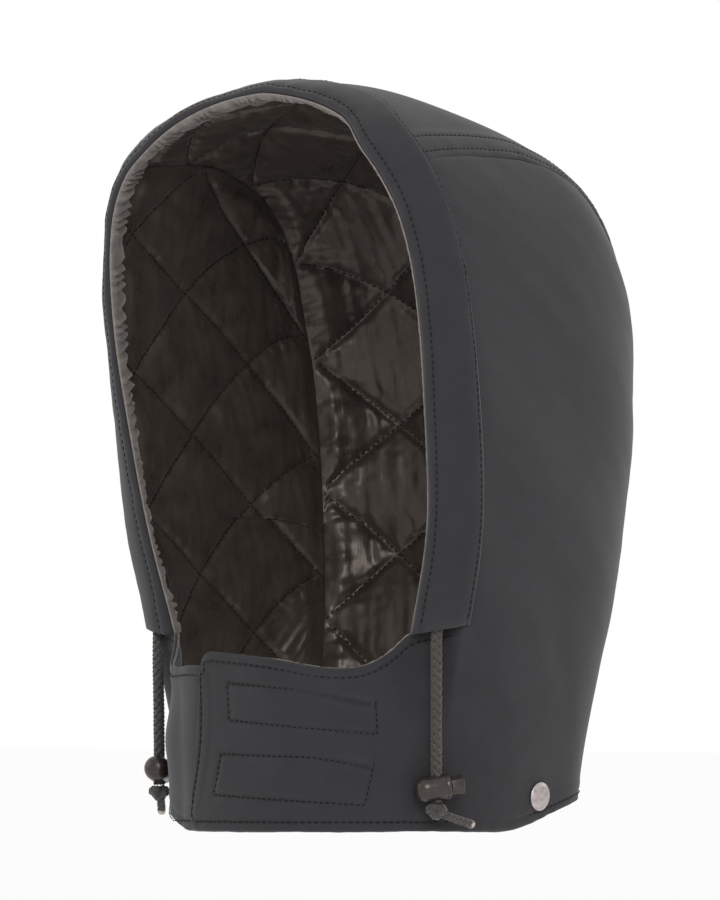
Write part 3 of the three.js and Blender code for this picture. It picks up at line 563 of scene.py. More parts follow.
lock_surface = lock_material()
for side, lock in LOCKS.items():
    foot = CORD_ROUTES[side][-1]
    hold = in_frame([(foot[0], foot[1], lock["height"])])[0]
    forward = Vector(lock["forward"]).normalized()
    pieces = []
    for name, outline, sides, flats in (
        ("barrel", barrel_outline(), BARREL_SIDES, 0),
        ("plunger", plunger_outline(), PLUNGER_SIDES, PLUNGER_FLATS),
    ):
        parts = Parts()
        ring = aimed(turned_solid(outline, sides, flats), hold, forward)
        parts.add_tube(ring, np.linspace(0, 0.02, len(outline)), 0.04)
        piece = parts.piece(f"lock_{name}_{side}", lock_surface, "lock_plastic")
        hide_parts(f"cord_lock_{name}_{side}")
        pieces.append(piece)
    cut_hole(pieces[0], hold, CORD_DIAMETER / 2 + CORD_CLEARANCE)
    cord_piece, line, run = cord_lines[side]

# Outer shell: three panels of heavy cotton duck on one rounded form, a centre strip and two sides,
# sewn with dark thread. The tables give the form's level sections and its edge at the face.
HOOD_HEIGHT = 0.370
HOOD_HALF_WIDTH = 0.116
HOOD_DEPTH = 0.200
FRONT_ROUNDNESS = 2.2
BACK_ROUNDNESS = 3.0
CROWN_FLAT = 0.0006
BEND_HEIGHT = 0.235
HEM_BACK_RISE = 0.015
HEM_RISE_START = -0.020
HEM_RISE_END = 0.060
STRIP_HEM_HALF = 0.080
STRIP_CROWN_HALF = 0.093
SHELL_THICKNESS = 0.002
CASING_GAP = 0.0015
UNDER_BAND = 0.03
CASING_WIDTH = 0.024
BACK_STEPS = 14
BEND_STEPS = 10
TOP_STEPS = 6
ALL_STEPS = BACK_STEPS + BEND_STEPS + TOP_STEPS
SECTIONS = [
    dict(rise=0.00, half=0.82, front=-0.56, axis=0.12, back=0.34),
    dict(rise=0.10, half=0.85, front=-0.56, axis=0.10, back=0.38),
    dict(rise=0.22, half=0.91, front=-0.58, axis=0.05, back=0.45),
    dict(rise=0.30, half=0.95, front=-0.66, axis=0.02, back=0.50),
    dict(rise=0.42, half=0.99, front=-0.95, axis=0.00, back=0.55),
    dict(rise=0.55, half=1.00, front=-1.20, axis=0.00, back=0.58),
    dict(rise=0.68, half=1.00, front=-1.25, axis=-0.02, back=0.57),
    dict(rise=0.78, half=0.97, front=-1.20, axis=-0.05, back=0.51),
    dict(rise=0.86, half=0.89, front=-1.10, axis=-0.10, back=0.41),
    dict(rise=0.92, half=0.75, front=-1.00, axis=-0.18, back=0.23),
    dict(rise=0.97, half=0.50, front=-0.80, axis=-0.26, back=-0.02),
    dict(rise=1.00, half=0.00, front=-0.33, axis=-0.33, back=-0.33),
]
FACE = [
    dict(rise=0.00, edge=-0.260, draw=0.86),
    dict(rise=0.27, edge=-0.280, draw=0.86),
    dict(rise=0.42, edge=-0.300, draw=0.84),
    dict(rise=0.65, edge=-0.345, draw=0.66),
    dict(rise=0.82, edge=-0.385, draw=0.58),
    dict(rise=0.90, edge=-0.405, draw=0.58),
    dict(rise=0.94, edge=-0.395, draw=0.55),
    dict(rise=0.975, edge=-0.345, draw=0.35),
    dict(rise=1.00, edge=-0.330, draw=0.20),
]


def mix(a, b, share):
    return a + (b - a) * share


def eased(share):
    share = np.clip(share, 0, 1)
    return share * share * (3 - 2 * share)


def curve_through(rows, column, place):
    """A smooth curve through one column of a table, as a function of arrays."""
    ordered = sorted(rows, key=place)
    xs = np.array([place(row) for row in ordered])
    ys = np.array([row[column] for row in ordered])
    slope = np.r_[
        (ys[1] - ys[0]) / (xs[1] - xs[0]), (ys[2:] - ys[:-2]) / (xs[2:] - xs[:-2]),
        (ys[-1] - ys[-2]) / (xs[-1] - xs[-2]),
    ]

    def value(x):
        k = np.clip(np.searchsorted(xs, x, side="right") - 1, 0, len(xs) - 2)
        step = xs[k + 1] - xs[k]
        t = np.clip((x - xs[k]) / step, 0, 1)
        pull = slope[k] * t * (1 - t) ** 2 - slope[k + 1] * t * t * (1 - t)
        return mix(ys[k], ys[k + 1], t * t * (3 - 2 * t)) + pull * step

    return value


def from_crown(row):
    return math.sqrt(1 - row["rise"])


def crown_place(z):
    return np.sqrt(np.maximum(1 - z / HOOD_HEIGHT, 0))


section_shares = {
    key: curve_through(SECTIONS, key, from_crown) for key in ("half", "front", "axis", "back")
}
edge_share = curve_through(FACE, "edge", from_crown)
draw_share = curve_through(FACE, "draw", from_crown)


def section_at(z):
    place = crown_place(z)
    half = np.maximum(HOOD_HALF_WIDTH * section_shares["half"](place), 1e-6)
    return half, *(HOOD_DEPTH * section_shares[key](place) for key in ("front", "axis", "back"))


def around_section(y, z):
    half, front, axis, back = section_at(z)
    run = np.where(y > axis, back - axis, axis - front)
    power = np.where(y > axis, BACK_ROUNDNESS, FRONT_ROUNDNESS)
    return half, power, np.abs(y - axis) / np.maximum(run, 1e-6)


def form_value(x, y, z):
    """Below zero inside the hood's form, and zero on it."""
    half, power, reach = around_section(y, z)
    return (np.abs(x) / half) ** power + reach ** power - 1


def half_width_at(y, z):
    half, power, reach = around_section(y, z)
    return half * np.maximum(1 - reach ** power, 0) ** (1 / power)


def outward_at(points, step=0.00005):
    """The form's outward direction, which is straight up at the very crown."""
    x, y, z = np.moveaxis(points, -1, 0)
    slope = np.stack([
        form_value(x + step, y, z) - form_value(x - step, y, z),
        form_value(x, y + step, z) - form_value(x, y - step, z),
        form_value(x, y, z + step) - form_value(x, y, z - step),
    ], axis=-1)
    slope[z > HOOD_HEIGHT - CROWN_FLAT] = (0, 0, 1)
    return unit(slope)


def crossing(rising, low, high):
    """Where a rising function of an array crosses zero between low and high."""
    low, high = np.broadcast_arrays(np.asarray(low, float), np.asarray(high, float))
    for _ in range(42):
        middle = (low + high) / 2
        under = rising(middle) < 0
        low = np.where(under, middle, low)
        high = np.where(under, high, middle)
    return (low + high) / 2


def hem_height(y):
    return HEM_BACK_RISE * eased((y - HEM_RISE_START) / (HEM_RISE_END - HEM_RISE_START))


def edge_y(z):
    return HOOD_DEPTH * edge_share(crown_place(z))


CREST_HALF = 0.00002
crest_height = float(crossing(
    lambda z: CREST_HALF - half_width_at(edge_y(z), z), 0.9 * HOOD_HEIGHT, HOOD_HEIGHT))


def arch_point(place):
    """The casing's seam as an arch, from its crest, where the place is 0."""
    z = crest_height * (1 - place * place)
    return np.stack([np.sign(place) * half_width_at(edge_y(z), z), edge_y(z), z], axis=-1)


def arch_place(z):
    return np.sqrt(np.maximum(1 - z / crest_height, 0))


def place_of_width(x):
    return crossing(lambda place: arch_point(place)[..., 0] - x, np.zeros_like(x), 0.6)


def strip_point(station, x):
    """Station 0 to 1 climbs the back, 1 to 2 goes round the bend, 2 to 3 comes forward to the face."""
    station, x = np.broadcast_arrays(np.asarray(station, float), np.asarray(x, float))
    wide = np.abs(x)
    foot_y = crossing(lambda y: form_value(wide, y, HEM_BACK_RISE), np.zeros_like(wide), HOOD_DEPTH)
    back_z = mix(hem_height(foot_y), BEND_HEIGHT, np.minimum(station, 1))
    back_y = crossing(lambda y: form_value(wide, y, back_z), np.zeros_like(wide), HOOD_DEPTH)
    turn = np.clip(station - 1, 0, 1) * math.pi / 2

    def past_form(reach):
        z = BEND_HEIGHT + reach * np.sin(turn)
        value = form_value(wide, reach * np.cos(turn), np.minimum(z, HOOD_HEIGHT))
        return np.where(z >= HOOD_HEIGHT, 1, value)

    reach = crossing(past_form, np.full_like(wide, 0.001), HOOD_DEPTH)
    face_y = arch_point(place_of_width(wide))[..., 1] + CASING_GAP
    top_y = np.clip(station - 2, 0, 1 + UNDER_BAND) * face_y
    top_z = crossing(lambda z: form_value(wide, top_y, z), np.full_like(wide, BEND_HEIGHT), HOOD_HEIGHT)
    bend_y = reach * np.cos(turn)
    bend_z = BEND_HEIGHT + reach * np.sin(turn)
    y = np.where(station <= 1, back_y, np.where(station <= 2, bend_y, top_y))
    z = np.where(station <= 1, back_z, np.where(station <= 2, bend_z, top_z))
    return np.stack([x, y, z], axis=-1)


def station_of(row):
    """The strip's station at a row of the quilting grid, which the side panels share."""
    bend = BACK_STEPS + BEND_STEPS
    return np.where(
        row <= BACK_STEPS, row / BACK_STEPS,
        np.where(row <= bend, 1 + (row - BACK_STEPS) / BEND_STEPS, 2 + (row - bend) / TOP_STEPS),
    )


def strip_half_at(station):
    """Half the centre strip's width, which grows from the hem to the crown."""
    return mix(STRIP_HEM_HALF, STRIP_CROWN_HALF, eased(station / 2))


def undulation(u, v, wave, seed, stretch=1.0, count=12):
    """A seeded, gentle unevenness of about -1 to 1, with waves longer by the stretch along v."""
    draw = np.random.default_rng(seed)
    total = 0
    for _ in range(count):
        angle = draw.uniform(0, math.pi)
        length = wave * draw.uniform(0.65, 1.6)
        shift = draw.uniform(0, 2 * math.pi)
        place = u * math.cos(angle) + v * math.sin(angle) / stretch
        total = total + np.sin(2 * math.pi * place / length + shift)
    return total / math.sqrt(2 * count)


def cloth(front, back, marks, cells=None, rim_rings=3, rim_bulge=0.45):
    """A closed sheet from its outer and inner grids of points, with a rounded rim where it ends."""
    count = front.shape[0] * front.shape[1]
    faces = grid_faces(np.arange(count).reshape(front.shape[:2]))
    if cells is not None:
        faces = faces[cells.ravel()]
    outer = front.reshape(-1, 3)
    inner = back.reshape(-1, 3)
    start = outer[faces[:, 0]]
    facing = np.cross(outer[faces[:, 1]] - start, outer[faces[:, 3]] - start)
    if np.sum(facing * (outer - inner)[faces[:, 0]]) < 0:
        faces = faces[:, ::-1]
    edges = np.vstack([faces[:, [k, (k + 1) % 4]] for k in range(4)])
    key = edges.min(axis=1) * count + edges.max(axis=1)
    _, first, times = np.unique(key, return_index=True, return_counts=True)
    ends = edges[first[times == 1]]
    thick = outer - inner
    away = unit(np.cross(outer[ends[:, 1]] - outer[ends[:, 0]], thick[ends[:, 0]]))
    away_at = np.zeros_like(outer)
    np.add.at(away_at, ends[:, 0], away)
    np.add.at(away_at, ends[:, 1], away)
    rim = np.unique(ends)
    away_at = unit(away_at[rim]) * np.linalg.norm(thick[rim], axis=1)[:, None]
    place = np.zeros(count, int)
    place[rim] = np.arange(len(rim))
    points = [outer, inner]
    uv = [marks.reshape(-1, 2)] * 2
    levels = [ends]
    for k in range(1, rim_rings + 1):
        share = k / (rim_rings + 1)
        points.append(mix(outer[rim], inner[rim], share) + away_at * rim_bulge * math.sin(math.pi * share))
        uv.append(marks.reshape(-1, 2)[rim] + 0.0004 * k)
        levels.append(place[ends] + 2 * count + (k - 1) * len(rim))
    levels.append(ends + count)
    parts = [faces, faces[:, ::-1] + count]
    for low, high in zip(levels[:-1], levels[1:]):
        parts.append(np.stack([low[:, 1], low[:, 0], high[:, 0], high[:, 1]], axis=1))
    faces = np.vstack(parts)
    used, compact = np.unique(faces, return_inverse=True)
    uv = np.vstack(uv)
    return np.vstack(points)[used], compact.reshape(faces.shape), uv[faces]


def cloth_piece(name, front, back, marks, surface, slot, **ends):
    """A piece of cloth from its two grids of points and its run and climb along the grain."""
    points, faces, grain = cloth(front, back, np.stack(marks, axis=-1), **ends)
    return make_piece(name, in_frame(points), faces, grain, surface)


def run_lengths(points, axis):
    """Length along one axis of a grid of points, from its first row or column."""
    steps = np.linalg.norm(np.diff(points, axis=axis), axis=-1)
    start = np.zeros_like(np.take(steps, [0], axis=axis))
    return np.concatenate([start, np.cumsum(steps, axis=axis)], axis=axis)


def stepped(stops, steps):
    """Places from one stop to the next, so many steps to each stretch."""
    stretches = zip(stops[:-1], stops[1:], steps)
    places = [np.linspace(a, b, count, endpoint=False) for a, b, count in stretches]
    return np.r_[np.concatenate(places), stops[-1]]


def groove(distance, depth, width):
    """How far a row of stitching draws the cloth in, by the distance from it."""
    return -depth * np.exp(-((distance / width) ** 2))


STITCH_PITCH = 0.0034
STITCH_GAP = 0.0008
THREAD_RADIUS = 0.00031
STITCH_SIDES = 5


class Stitching(Parts):
    """Rows of thread, one short rounded stitch after another, joined into one mesh."""

    def __init__(self, seed):
        super().__init__()
        self.draw = np.random.default_rng(seed)

    def sew(self, line, out, pitch=STITCH_PITCH, gap=STITCH_GAP, radius=THREAD_RADIUS, lift=0.00006):
        run = np.r_[0, np.cumsum(np.linalg.norm(np.diff(line, axis=0), axis=1))]
        number = max(int(run[-1] / pitch), 1)
        start = np.arange(number) * pitch + gap / 2 + self.draw.uniform(-0.1, 0.1, number) * gap
        share = np.array([0.0, 0.18, 0.5, 0.82, 1.0])
        stops = start[:, None] + share * (pitch - gap) * self.draw.uniform(0.92, 1.04, number)[:, None]
        heights = np.array([-0.9, 0.25, 0.6, 0.25, -0.9]) * radius + lift
        swell = np.array([0.35, 0.9, 1.0, 0.9, 0.35]) * radius
        at = np.stack([np.interp(stops, run, line[:, axis]) for axis in range(3)], axis=-1)
        up = unit(np.stack([np.interp(stops, run, out[:, axis]) for axis in range(3)], axis=-1))
        along = unit(at[:, -1:] - at[:, :1])
        side = unit(np.cross(up, along))
        drift = self.draw.normal(0, 0.00006, number)[:, None, None]
        centre = at + up * heights[:, None] + side * drift
        turn = np.linspace(0, 2 * math.pi, STITCH_SIDES, endpoint=False)
        ring = centre[:, :, None, :] + swell[:, None, None] * (
            np.cos(turn)[:, None] * side[:, :, None, :] + np.sin(turn)[:, None] * up[:, :, None, :]
        )
        stations = len(share)
        index = self.count + np.arange(number * stations * STITCH_SIDES)
        index = index.reshape(number, stations, STITCH_SIDES)
        following = np.roll(index, -1, axis=2)
        sides = np.stack([index[:, :-1], following[:, :-1], following[:, 1:], index[:, 1:]], axis=-1)
        caps = []
        for level, order in ((0, 1), (-1, -1)):
            ring_index = index[:, level, ::-order] if order == 1 else index[:, level]
            caps.append(ring_index[:, [0, 1, 2, 3]])
            blank = np.full(number, NO_CORNER)
            caps.append(np.stack([ring_index[:, 0], ring_index[:, 3], ring_index[:, 4], blank], axis=1))
        self.points.append(in_frame(ring.reshape(-1, 3)))
        faces = np.vstack([sides.reshape(-1, 4), *caps])
        self.faces.append(faces)
        self.marks.append(np.zeros((len(faces), 4, 2)))
        self.count += number * stations * STITCH_SIDES


def duck_weave():
    """Shared by the duck cloth's materials: a firm twill with slubs and pale mottling, and a painted
    highlight that makes its convex ridges and edges paler.
    """
    group = bpy.data.node_groups.new("duck_weave", "ShaderNodeTree")
    for name in ("Cloth Color", "Pale And Highlight Color"):
        group.interface.new_socket(name, in_out="INPUT", socket_type="NodeSocketColor")
    for name, usual in (("Thread Count", 1500.0), ("Ridge Highlight", 0.5)):
        socket = group.interface.new_socket(name, in_out="INPUT", socket_type="NodeSocketFloat")
        socket.default_value = usual
    for name, kind in (("Color", "Color"), ("Height", "Float"), ("Roughness", "Float")):
        group.interface.new_socket(name, in_out="OUTPUT", socket_type="NodeSocket" + kind)
    given = add_node(group, "NodeGroupInput")
    result = add_node(group, "NodeGroupOutput")
    twill = add_node(group, "ShaderNodeTexWave", bands_direction="X")
    feed(group, twill, "Vector", grain_place(group, turn=math.radians(63)))
    feed(group, twill, "Scale", computed(group, "MULTIPLY", given.outputs["Thread Count"], 0.27))
    preset(twill, {"Distortion": 1.4, "Detail": 2, "Detail Scale": 2.2})
    slub = noise(group, grain_place(group, (1, 0.22, 1)), given.outputs["Thread Count"])
    mottle = noise(group, grain_place(group), 46, 6, 0.65)
    height = computed(group, "ADD", computed(group, "MULTIPLY", twill.outputs[1], 0.6),
                      computed(group, "MULTIPLY", slub, 0.7))
    # Painted highlight: where the cloth is convex (high pointiness) its colour is mixed towards the pale
    # one, as on edges that catch the light.
    ridge_highlight_mask = ranged(group, geometry(group, "Pointiness"), 0.505, 0.56, 0, 1)
    fuzz = ranged(group, mottle, 0.3, 0.7, 0, 0.35)
    share = computed(group, "ADD", computed(group, "MULTIPLY", ridge_highlight_mask, given.outputs["Ridge Highlight"]), fuzz)
    thread = ranged(group, height, 0.35, 1.0, 0, 0.5)
    share = computed(group, "MINIMUM", computed(group, "ADD", share, thread), 1)
    color = mixed(group, share, given.outputs["Cloth Color"], given.outputs["Pale And Highlight Color"])
    feed(group, result, "Color", color)
    feed(group, result, "Height", height)
    feed(group, result, "Roughness", ranged(group, slub, 0.3, 0.7, 0.84, 0.96))
    return group


def duck_material(name, cloth_color, pale_and_highlight_color):
    material, tree, shader = new_material(name)
    weave = add_node(tree, "ShaderNodeGroup", node_tree=duck)
    feed(tree, weave, "Cloth Color", cloth_color)
    feed(tree, weave, "Pale And Highlight Color", pale_and_highlight_color)
    feed(tree, shader, "Base Color", weave.outputs["Color"])
    feed(tree, shader, "Roughness", weave.outputs["Roughness"])
    preset(shader, {"Specular IOR Level": 0.22, "Sheen Weight": 0.12, "Sheen Roughness": 0.5})
    bumped(tree, shader, weave.outputs["Height"], 0.32, 0.0002)
    return material


def thread_material():
    material, tree, shader = new_material("sewing_thread")
    ply = noise(tree, geometry(tree, "Position"), 2400)
    tint = mixed(tree, ply, (0.0034, 0.0034, 0.0037, 1), (0.0085, 0.0082, 0.0090, 1))
    feed(tree, shader, "Base Color", tint)
    preset(shader, {"Roughness": 0.6, "Specular IOR Level": 0.12})
    return material


duck = duck_weave()
# The second colour is the pale one, used for the random mottling and raised threads and for the painted
# highlight on ridges and edges.
duck_surface = duck_material("washed_duck", (0.0132, 0.0124, 0.0140, 1), (0.0250, 0.0237, 0.0262, 1))
thread_surface = thread_material()

# Centre strip: one length of duck from the back hem over the crown to the face, its long edges
# folded under and topstitched in two rows on to the side panels.
STRIP_LAP = 0.0010
STRIP_LIFT = 0.0009
STRIP_TURNING = 0.0105
SEAM_STITCH = 0.0022
SECOND_STITCH = 0.0088
SEAM_WAVER = 0.0004
STRIP_ROWS = 225


def strip_relief(inset, run, x):
    """Height of the strip's cloth over its form, by the distance in from the folded edge."""
    turning = STRIP_LIFT * eased((STRIP_TURNING + 0.004 - inset) / 0.006)
    turning = turning * eased((inset + 0.0006) / 0.0016)
    pucker = undulation(run, inset, 0.0075, 22, 4) * np.exp(-inset / 0.006) * 0.00022
    rows = sum(groove(inset - stitch, 0.00045, 0.0009) for stitch in (SEAM_STITCH, SECOND_STITCH))
    return turning + pucker + rows + 0.0009 * undulation(x, run, 0.085, 23, 1.6)


def strip_surface(rows, side, inset, share):
    """The strip's outer points, at an inset from a folded edge that wavers, and a share of the rest."""
    station = station_of(rows)[:, None]
    half = strip_half_at(station)
    run = run_lengths(strip_point(station, 0.6 * half), 0)
    edge = half + STRIP_LAP + SEAM_WAVER * undulation(run, 0 * run + side, 0.034, 21)
    x = side * (edge - inset) * (1 - share)
    points = strip_point(*np.broadcast_arrays(station, x))
    out = outward_at(points)
    near = edge - np.abs(x)
    lift = strip_relief(near, run, x)
    return points + out * lift[..., None], out, points, x, run + 0 * x


fine = np.r_[np.arange(0, 0.0128, 0.0008), np.arange(0.0136, 0.021, 0.0016)]
shares = np.linspace(0, 1, 28)[1:]
side = np.r_[-np.ones(len(fine) + len(shares)), np.ones(len(fine) + len(shares) - 1)]
inset = np.r_[fine, np.full(2 * len(shares) - 1, fine[-1]), fine[::-1]]
share = np.r_[0 * fine, shares, shares[::-1][1:], 0 * fine]
strip_rows = np.linspace(0, BACK_STEPS + BEND_STEPS + TOP_STEPS * (1 + UNDER_BAND), STRIP_ROWS + 1)
outer, out, flat, x, run = strip_surface(strip_rows, side, inset, share)
inner = flat - out * SHELL_THICKNESS
strip_piece = cloth_piece("centre_strip_duck", outer, inner, (x, run), duck_surface, "shell_duck")
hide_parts("center_panel")
strip_thread = Stitching(31)
for sign in (-1, 1):
    for stitch_inset in (SEAM_STITCH, SECOND_STITCH):
        line, line_out, _, _, _ = strip_surface(strip_rows, np.array([sign]), stitch_inset, 0)
        strip_thread.sew(line[:, 0], line_out[:, 0])
strip_thread.piece("strip_seam_stitches", thread_surface, "shell_duck")

# Side panels: one piece of duck for each side, cut in one with its half of the collar. The left
# front laps over the right and closes on two hook-and-loop patches, sewn on from behind.
SEAM_GAP = 0.0004
MOUTH_HEIGHT = 0.101
COLLAR_HEIGHT = 0.088
COLLAR_TUCK = 0.014
TUCK_START_HEIGHT = 0.038
FLAP_OVERLAP_TOP = 0.020
FLAP_OVERLAP_HEM = 0.033
FLAP_CORNER_RADIUS = 0.009
UNDERLAP = 0.028
UNDERLAP_LEAD = 0.014
UNDERLAP_RAMP = 0.018
UNDERLAP_DROP = 0.09
LAYER_GAP = 0.0012
RIGHT_HEM_RISE = 0.015
RIGHT_RISE_BACK = 0.045
RIGHT_RISE_AROUND = 0.5
COLLAR_ROWS = 6
SIDE_ROWS = BACK_STEPS + BEND_STEPS // 2
SIDE_STEPS = TOP_STEPS + BEND_STEPS // 2
SEAM_DIP = 0.0011
UNDER_CASING = 0.12
EDGE_STITCH = 0.0038
UNDER_HEM_END = 0.012
HEM_ROW_HEIGHT = 0.0163
COLLAR = [
    dict(around=0.00, top=1.136, tuck=0.00),
    dict(around=0.06, top=1.09, tuck=0.62),
    dict(around=0.13, top=1.06, tuck=0.95),
    dict(around=0.20, top=1.03, tuck=1.00),
    dict(around=0.30, top=0.95, tuck=0.80),
    dict(around=0.42, top=0.89, tuck=0.45),
    dict(around=0.55, top=0.89, tuck=0.18),
    dict(around=0.75, top=0.95, tuck=0.03),
    dict(around=1.00, top=1.00, tuck=0.00),
]
collar_top = curve_through(COLLAR, "top", lambda row: row["around"])
collar_tuck = curve_through(COLLAR, "tuck", lambda row: row["around"])


def seam_height(row):
    """Height of the side panel's front edge at a row of its grid."""
    foot = hem_height(edge_y(0))
    mouth = MOUTH_HEIGHT - 0.001
    top = strip_point(3, STRIP_CROWN_HALF + SEAM_GAP / 2)[..., 2]
    return np.where(row <= COLLAR_ROWS, mix(foot, mouth, row / COLLAR_ROWS),
                    mix(mouth, top, (row - COLLAR_ROWS) / (SIDE_ROWS - COLLAR_ROWS)))


def hem_rise(z):
    """How much higher the right front's cloth hangs at the side, where it is pulled across."""
    return RIGHT_HEM_RISE * (1 - eased(z / COLLAR_HEIGHT))


def seam_point(station, half_at=strip_half_at):
    return strip_point(station, half_at(station) + SEAM_GAP / 2)


def side_point(rows, columns, left=True, half_at=strip_half_at):
    """A side panel, filled in from its four edges. Rows and columns are those of the quilting."""
    inside = np.clip(columns, 0, SIDE_STEPS)
    top = seam_point(station_of(ALL_STEPS - inside), half_at)[..., 1:]
    back = seam_point(station_of(rows), half_at)[..., 1:]
    front_z = seam_height(rows)
    front = np.stack([edge_y(front_z) + CASING_GAP, front_z], axis=-1)
    hem_y = mix(front[0, 0], back[0, 0], inside / SIDE_STEPS)
    hem = np.stack([hem_y, hem_height(hem_y)], axis=-1)
    u = (columns / SIDE_STEPS)[None, :, None]
    v = (rows / SIDE_ROWS)[:, None, None]
    corners = mix(mix(hem[0], hem[-1], u), mix(top[0], top[-1], u), v)
    place = mix(hem[None], top[None], v) + mix(front[:, None], back[:, None], u) - corners
    y, z = place[..., 0], place[..., 1]
    if not left:
        foot_y = edge_y(hem_height(edge_y(0))) + CASING_GAP
        z = z + hem_rise(z) * (1 - eased((y - foot_y) / RIGHT_RISE_BACK))
    return np.stack([half_width_at(y, z), y, z], axis=-1)


def collar_point(around, share, overlap_hem, overlap_top, left):
    """The collar, from the casing's seam (0) round to the end of the front (1)."""
    ends = mix(overlap_hem, overlap_top, share)
    top = COLLAR_HEIGHT * collar_top(around)
    seam = seam_height(share * COLLAR_ROWS)
    z = mix(seam, top * share, eased(around / COLLAR[1]["around"]))
    seam_z = seam
    if not left:
        z = z + hem_rise(z) * (1 - eased(around / RIGHT_RISE_AROUND))
        seam_z = seam + hem_rise(seam)
    half, front, axis, _ = section_at(z)
    seam_x = half_width_at(edge_y(seam) + CASING_GAP, seam_z)

    def angle_of(x):
        return np.arcsin(np.clip(x / half, 0, 1) ** (FRONT_ROUNDNESS / 2))

    angle = mix(angle_of(seam_x), -angle_of(ends), around)
    x = half * np.sign(angle) * np.abs(np.sin(angle)) ** (2 / FRONT_ROUNDNESS)
    y = axis - (axis - front) * np.cos(angle) ** (2 / FRONT_ROUNDNESS)
    points = np.stack([x, y, z], axis=-1)
    climb = eased((z - TUCK_START_HEIGHT) / (COLLAR_HEIGHT - TUCK_START_HEIGHT))
    return points - outward_at(points) * (COLLAR_TUCK * collar_tuck(around) * climb)[..., None]


def front_surface(around, share, flap):
    """A front's outer points and outward directions, with the flap's corners rounded."""
    overlap_hem = FLAP_OVERLAP_HEM if flap else UNDERLAP
    overlap_top = FLAP_OVERLAP_TOP if flap else UNDERLAP
    if not flap:
        share = share * (1 - UNDERLAP_DROP * eased((around - 0.55) / 0.3))
    if flap:
        reach = collar_point(np.array([1.0, 0.9]), np.array([0.5, 0.5]), overlap_hem, overlap_top, flap)
        arc_length = np.linalg.norm(reach[0] - reach[1]) * 10
        near = np.clip((1 - around) * arc_length / FLAP_CORNER_RADIUS, 0, 1)
        drop = FLAP_CORNER_RADIUS * (1 - np.sqrt(1 - (1 - near) ** 2)) / COLLAR_HEIGHT
        share = mix(drop, 1 - drop, share)
    points = collar_point(around, share, overlap_hem, overlap_top, flap)
    out = outward_at(points)
    if not flap:
        tucked_by = FLAP_OVERLAP_HEM + UNDERLAP_LEAD
        under = eased((tucked_by + UNDERLAP_RAMP - points[..., 0]) / UNDERLAP_RAMP)
        points = points - out * (under * (SHELL_THICKNESS + LAYER_GAP))[..., None]
    return points, out


def side_surface(flap, rows, columns, around):
    """Outer points of a side panel and its front, as one grid; the front's columns come first."""
    forward = UNDER_CASING * eased((rows - COLLAR_ROWS) * 2)
    panel = side_point(rows, columns, flap)
    under = side_point(rows, np.array([-UNDER_CASING, 0.0]), flap)
    shift = (under[:, :1] - under[:, 1:]) * eased(1 - columns / 2)[None, :, None]
    panel = panel + shift * (forward / UNDER_CASING)[:, None, None]
    panel[..., 0] = half_width_at(panel[..., 1], panel[..., 2])
    panel_out = outward_at(panel)
    share = np.clip(rows / COLLAR_ROWS, 0, 1)
    front, front_out = front_surface(*np.broadcast_arrays(around[None, :], share[:, None]), flap)
    return np.hstack([front, panel]), np.hstack([front_out, panel_out])


PATCHES = [
    dict(left=0.0225, left_low=0.0539, left_high=0.0722,
         right=0.1015, right_low=0.0470, right_high=0.0630, bend=0.062),
    dict(left=0.0190, left_low=0.0171, left_high=0.0372,
         right=0.1022, right_low=0.0122, right_high=0.0326, bend=0.071),
]
PATCH_LIFT = 0.00035
PINCH_DEPTH = 0.0011


def sampled(table, row_share, column_share):
    """A table's value between its entries, by shares of its rows and columns."""
    rows, columns = table.shape[:2]
    i = np.clip(row_share, 0, 1) * (rows - 1)
    j = np.clip(column_share, 0, 1) * (columns - 1)
    low_i = np.minimum(i.astype(int), rows - 2)
    low_j = np.minimum(j.astype(int), columns - 2)
    a, b = i - low_i, j - low_j
    if table.ndim == 3:
        a, b = a[..., None], b[..., None]
    low = mix(table[low_i, low_j], table[low_i, low_j + 1], b)
    return mix(low, mix(table[low_i + 1, low_j], table[low_i + 1, low_j + 1], b), a)


def front_place(run, height, flap):
    """Where on the front a point lies, from its run in from the end and its height."""
    around = np.linspace(0, 1, 241)[None, :]
    around, share = np.broadcast_arrays(around, np.linspace(0, 1, 81)[:, None])
    points, _ = front_surface(around, share, flap)
    length = run_lengths(points[:, ::-1], 1)[:, ::-1]
    a = 1 - run / length[:, 0].mean()
    b = height / COLLAR_HEIGHT
    for _ in range(14):
        a = np.clip(a + (sampled(length, b, a) - run) / length[:, 0].mean(), 0, 1)
        b = np.clip(b + (height - sampled(points[..., 2], b, a)) / COLLAR_HEIGHT, 0, 1)
    return a, b


def plane_line(corners, step=0.0006):
    """Points along straight lines between corners in the cloth's plane."""
    corners = np.asarray(corners, float)
    stretches = []
    for a, b in zip(corners[:-1], corners[1:]):
        count = max(int(np.linalg.norm(b - a) / step), 1)
        stretches.append(mix(a, b, np.linspace(0, 1, count, endpoint=False)[:, None]))
    return np.vstack([*stretches, corners[-1:]])


def distance_to(corners, run, height):
    """Distance in the cloth's plane to a line of straight stretches."""
    nearest = np.full(run.shape, 1.0)
    place = np.stack([run, height], axis=-1)
    for a, b in zip(np.asarray(corners[:-1], float), np.asarray(corners[1:], float)):
        share = np.clip(((place - a) @ (b - a)) / max(np.dot(b - a, b - a), 1e-12), 0, 1)
        nearest = np.minimum(nearest, np.linalg.norm(place - a - share[..., None] * (b - a), axis=-1))
    return nearest


def patch_outline(patch):
    bend_high = mix(patch["left_high"], patch["right_high"], 0.35)
    return [
        (patch["right"], patch["right_high"] + 0.0008), (patch["right"] + 0.0008, patch["right_low"]),
        (patch["left"], patch["left_low"]), (patch["left"] - 0.0004, patch["left_high"]),
        (patch["bend"], bend_high), (patch["right"] - 0.0035, patch["right_high"] - 0.0016),
    ]


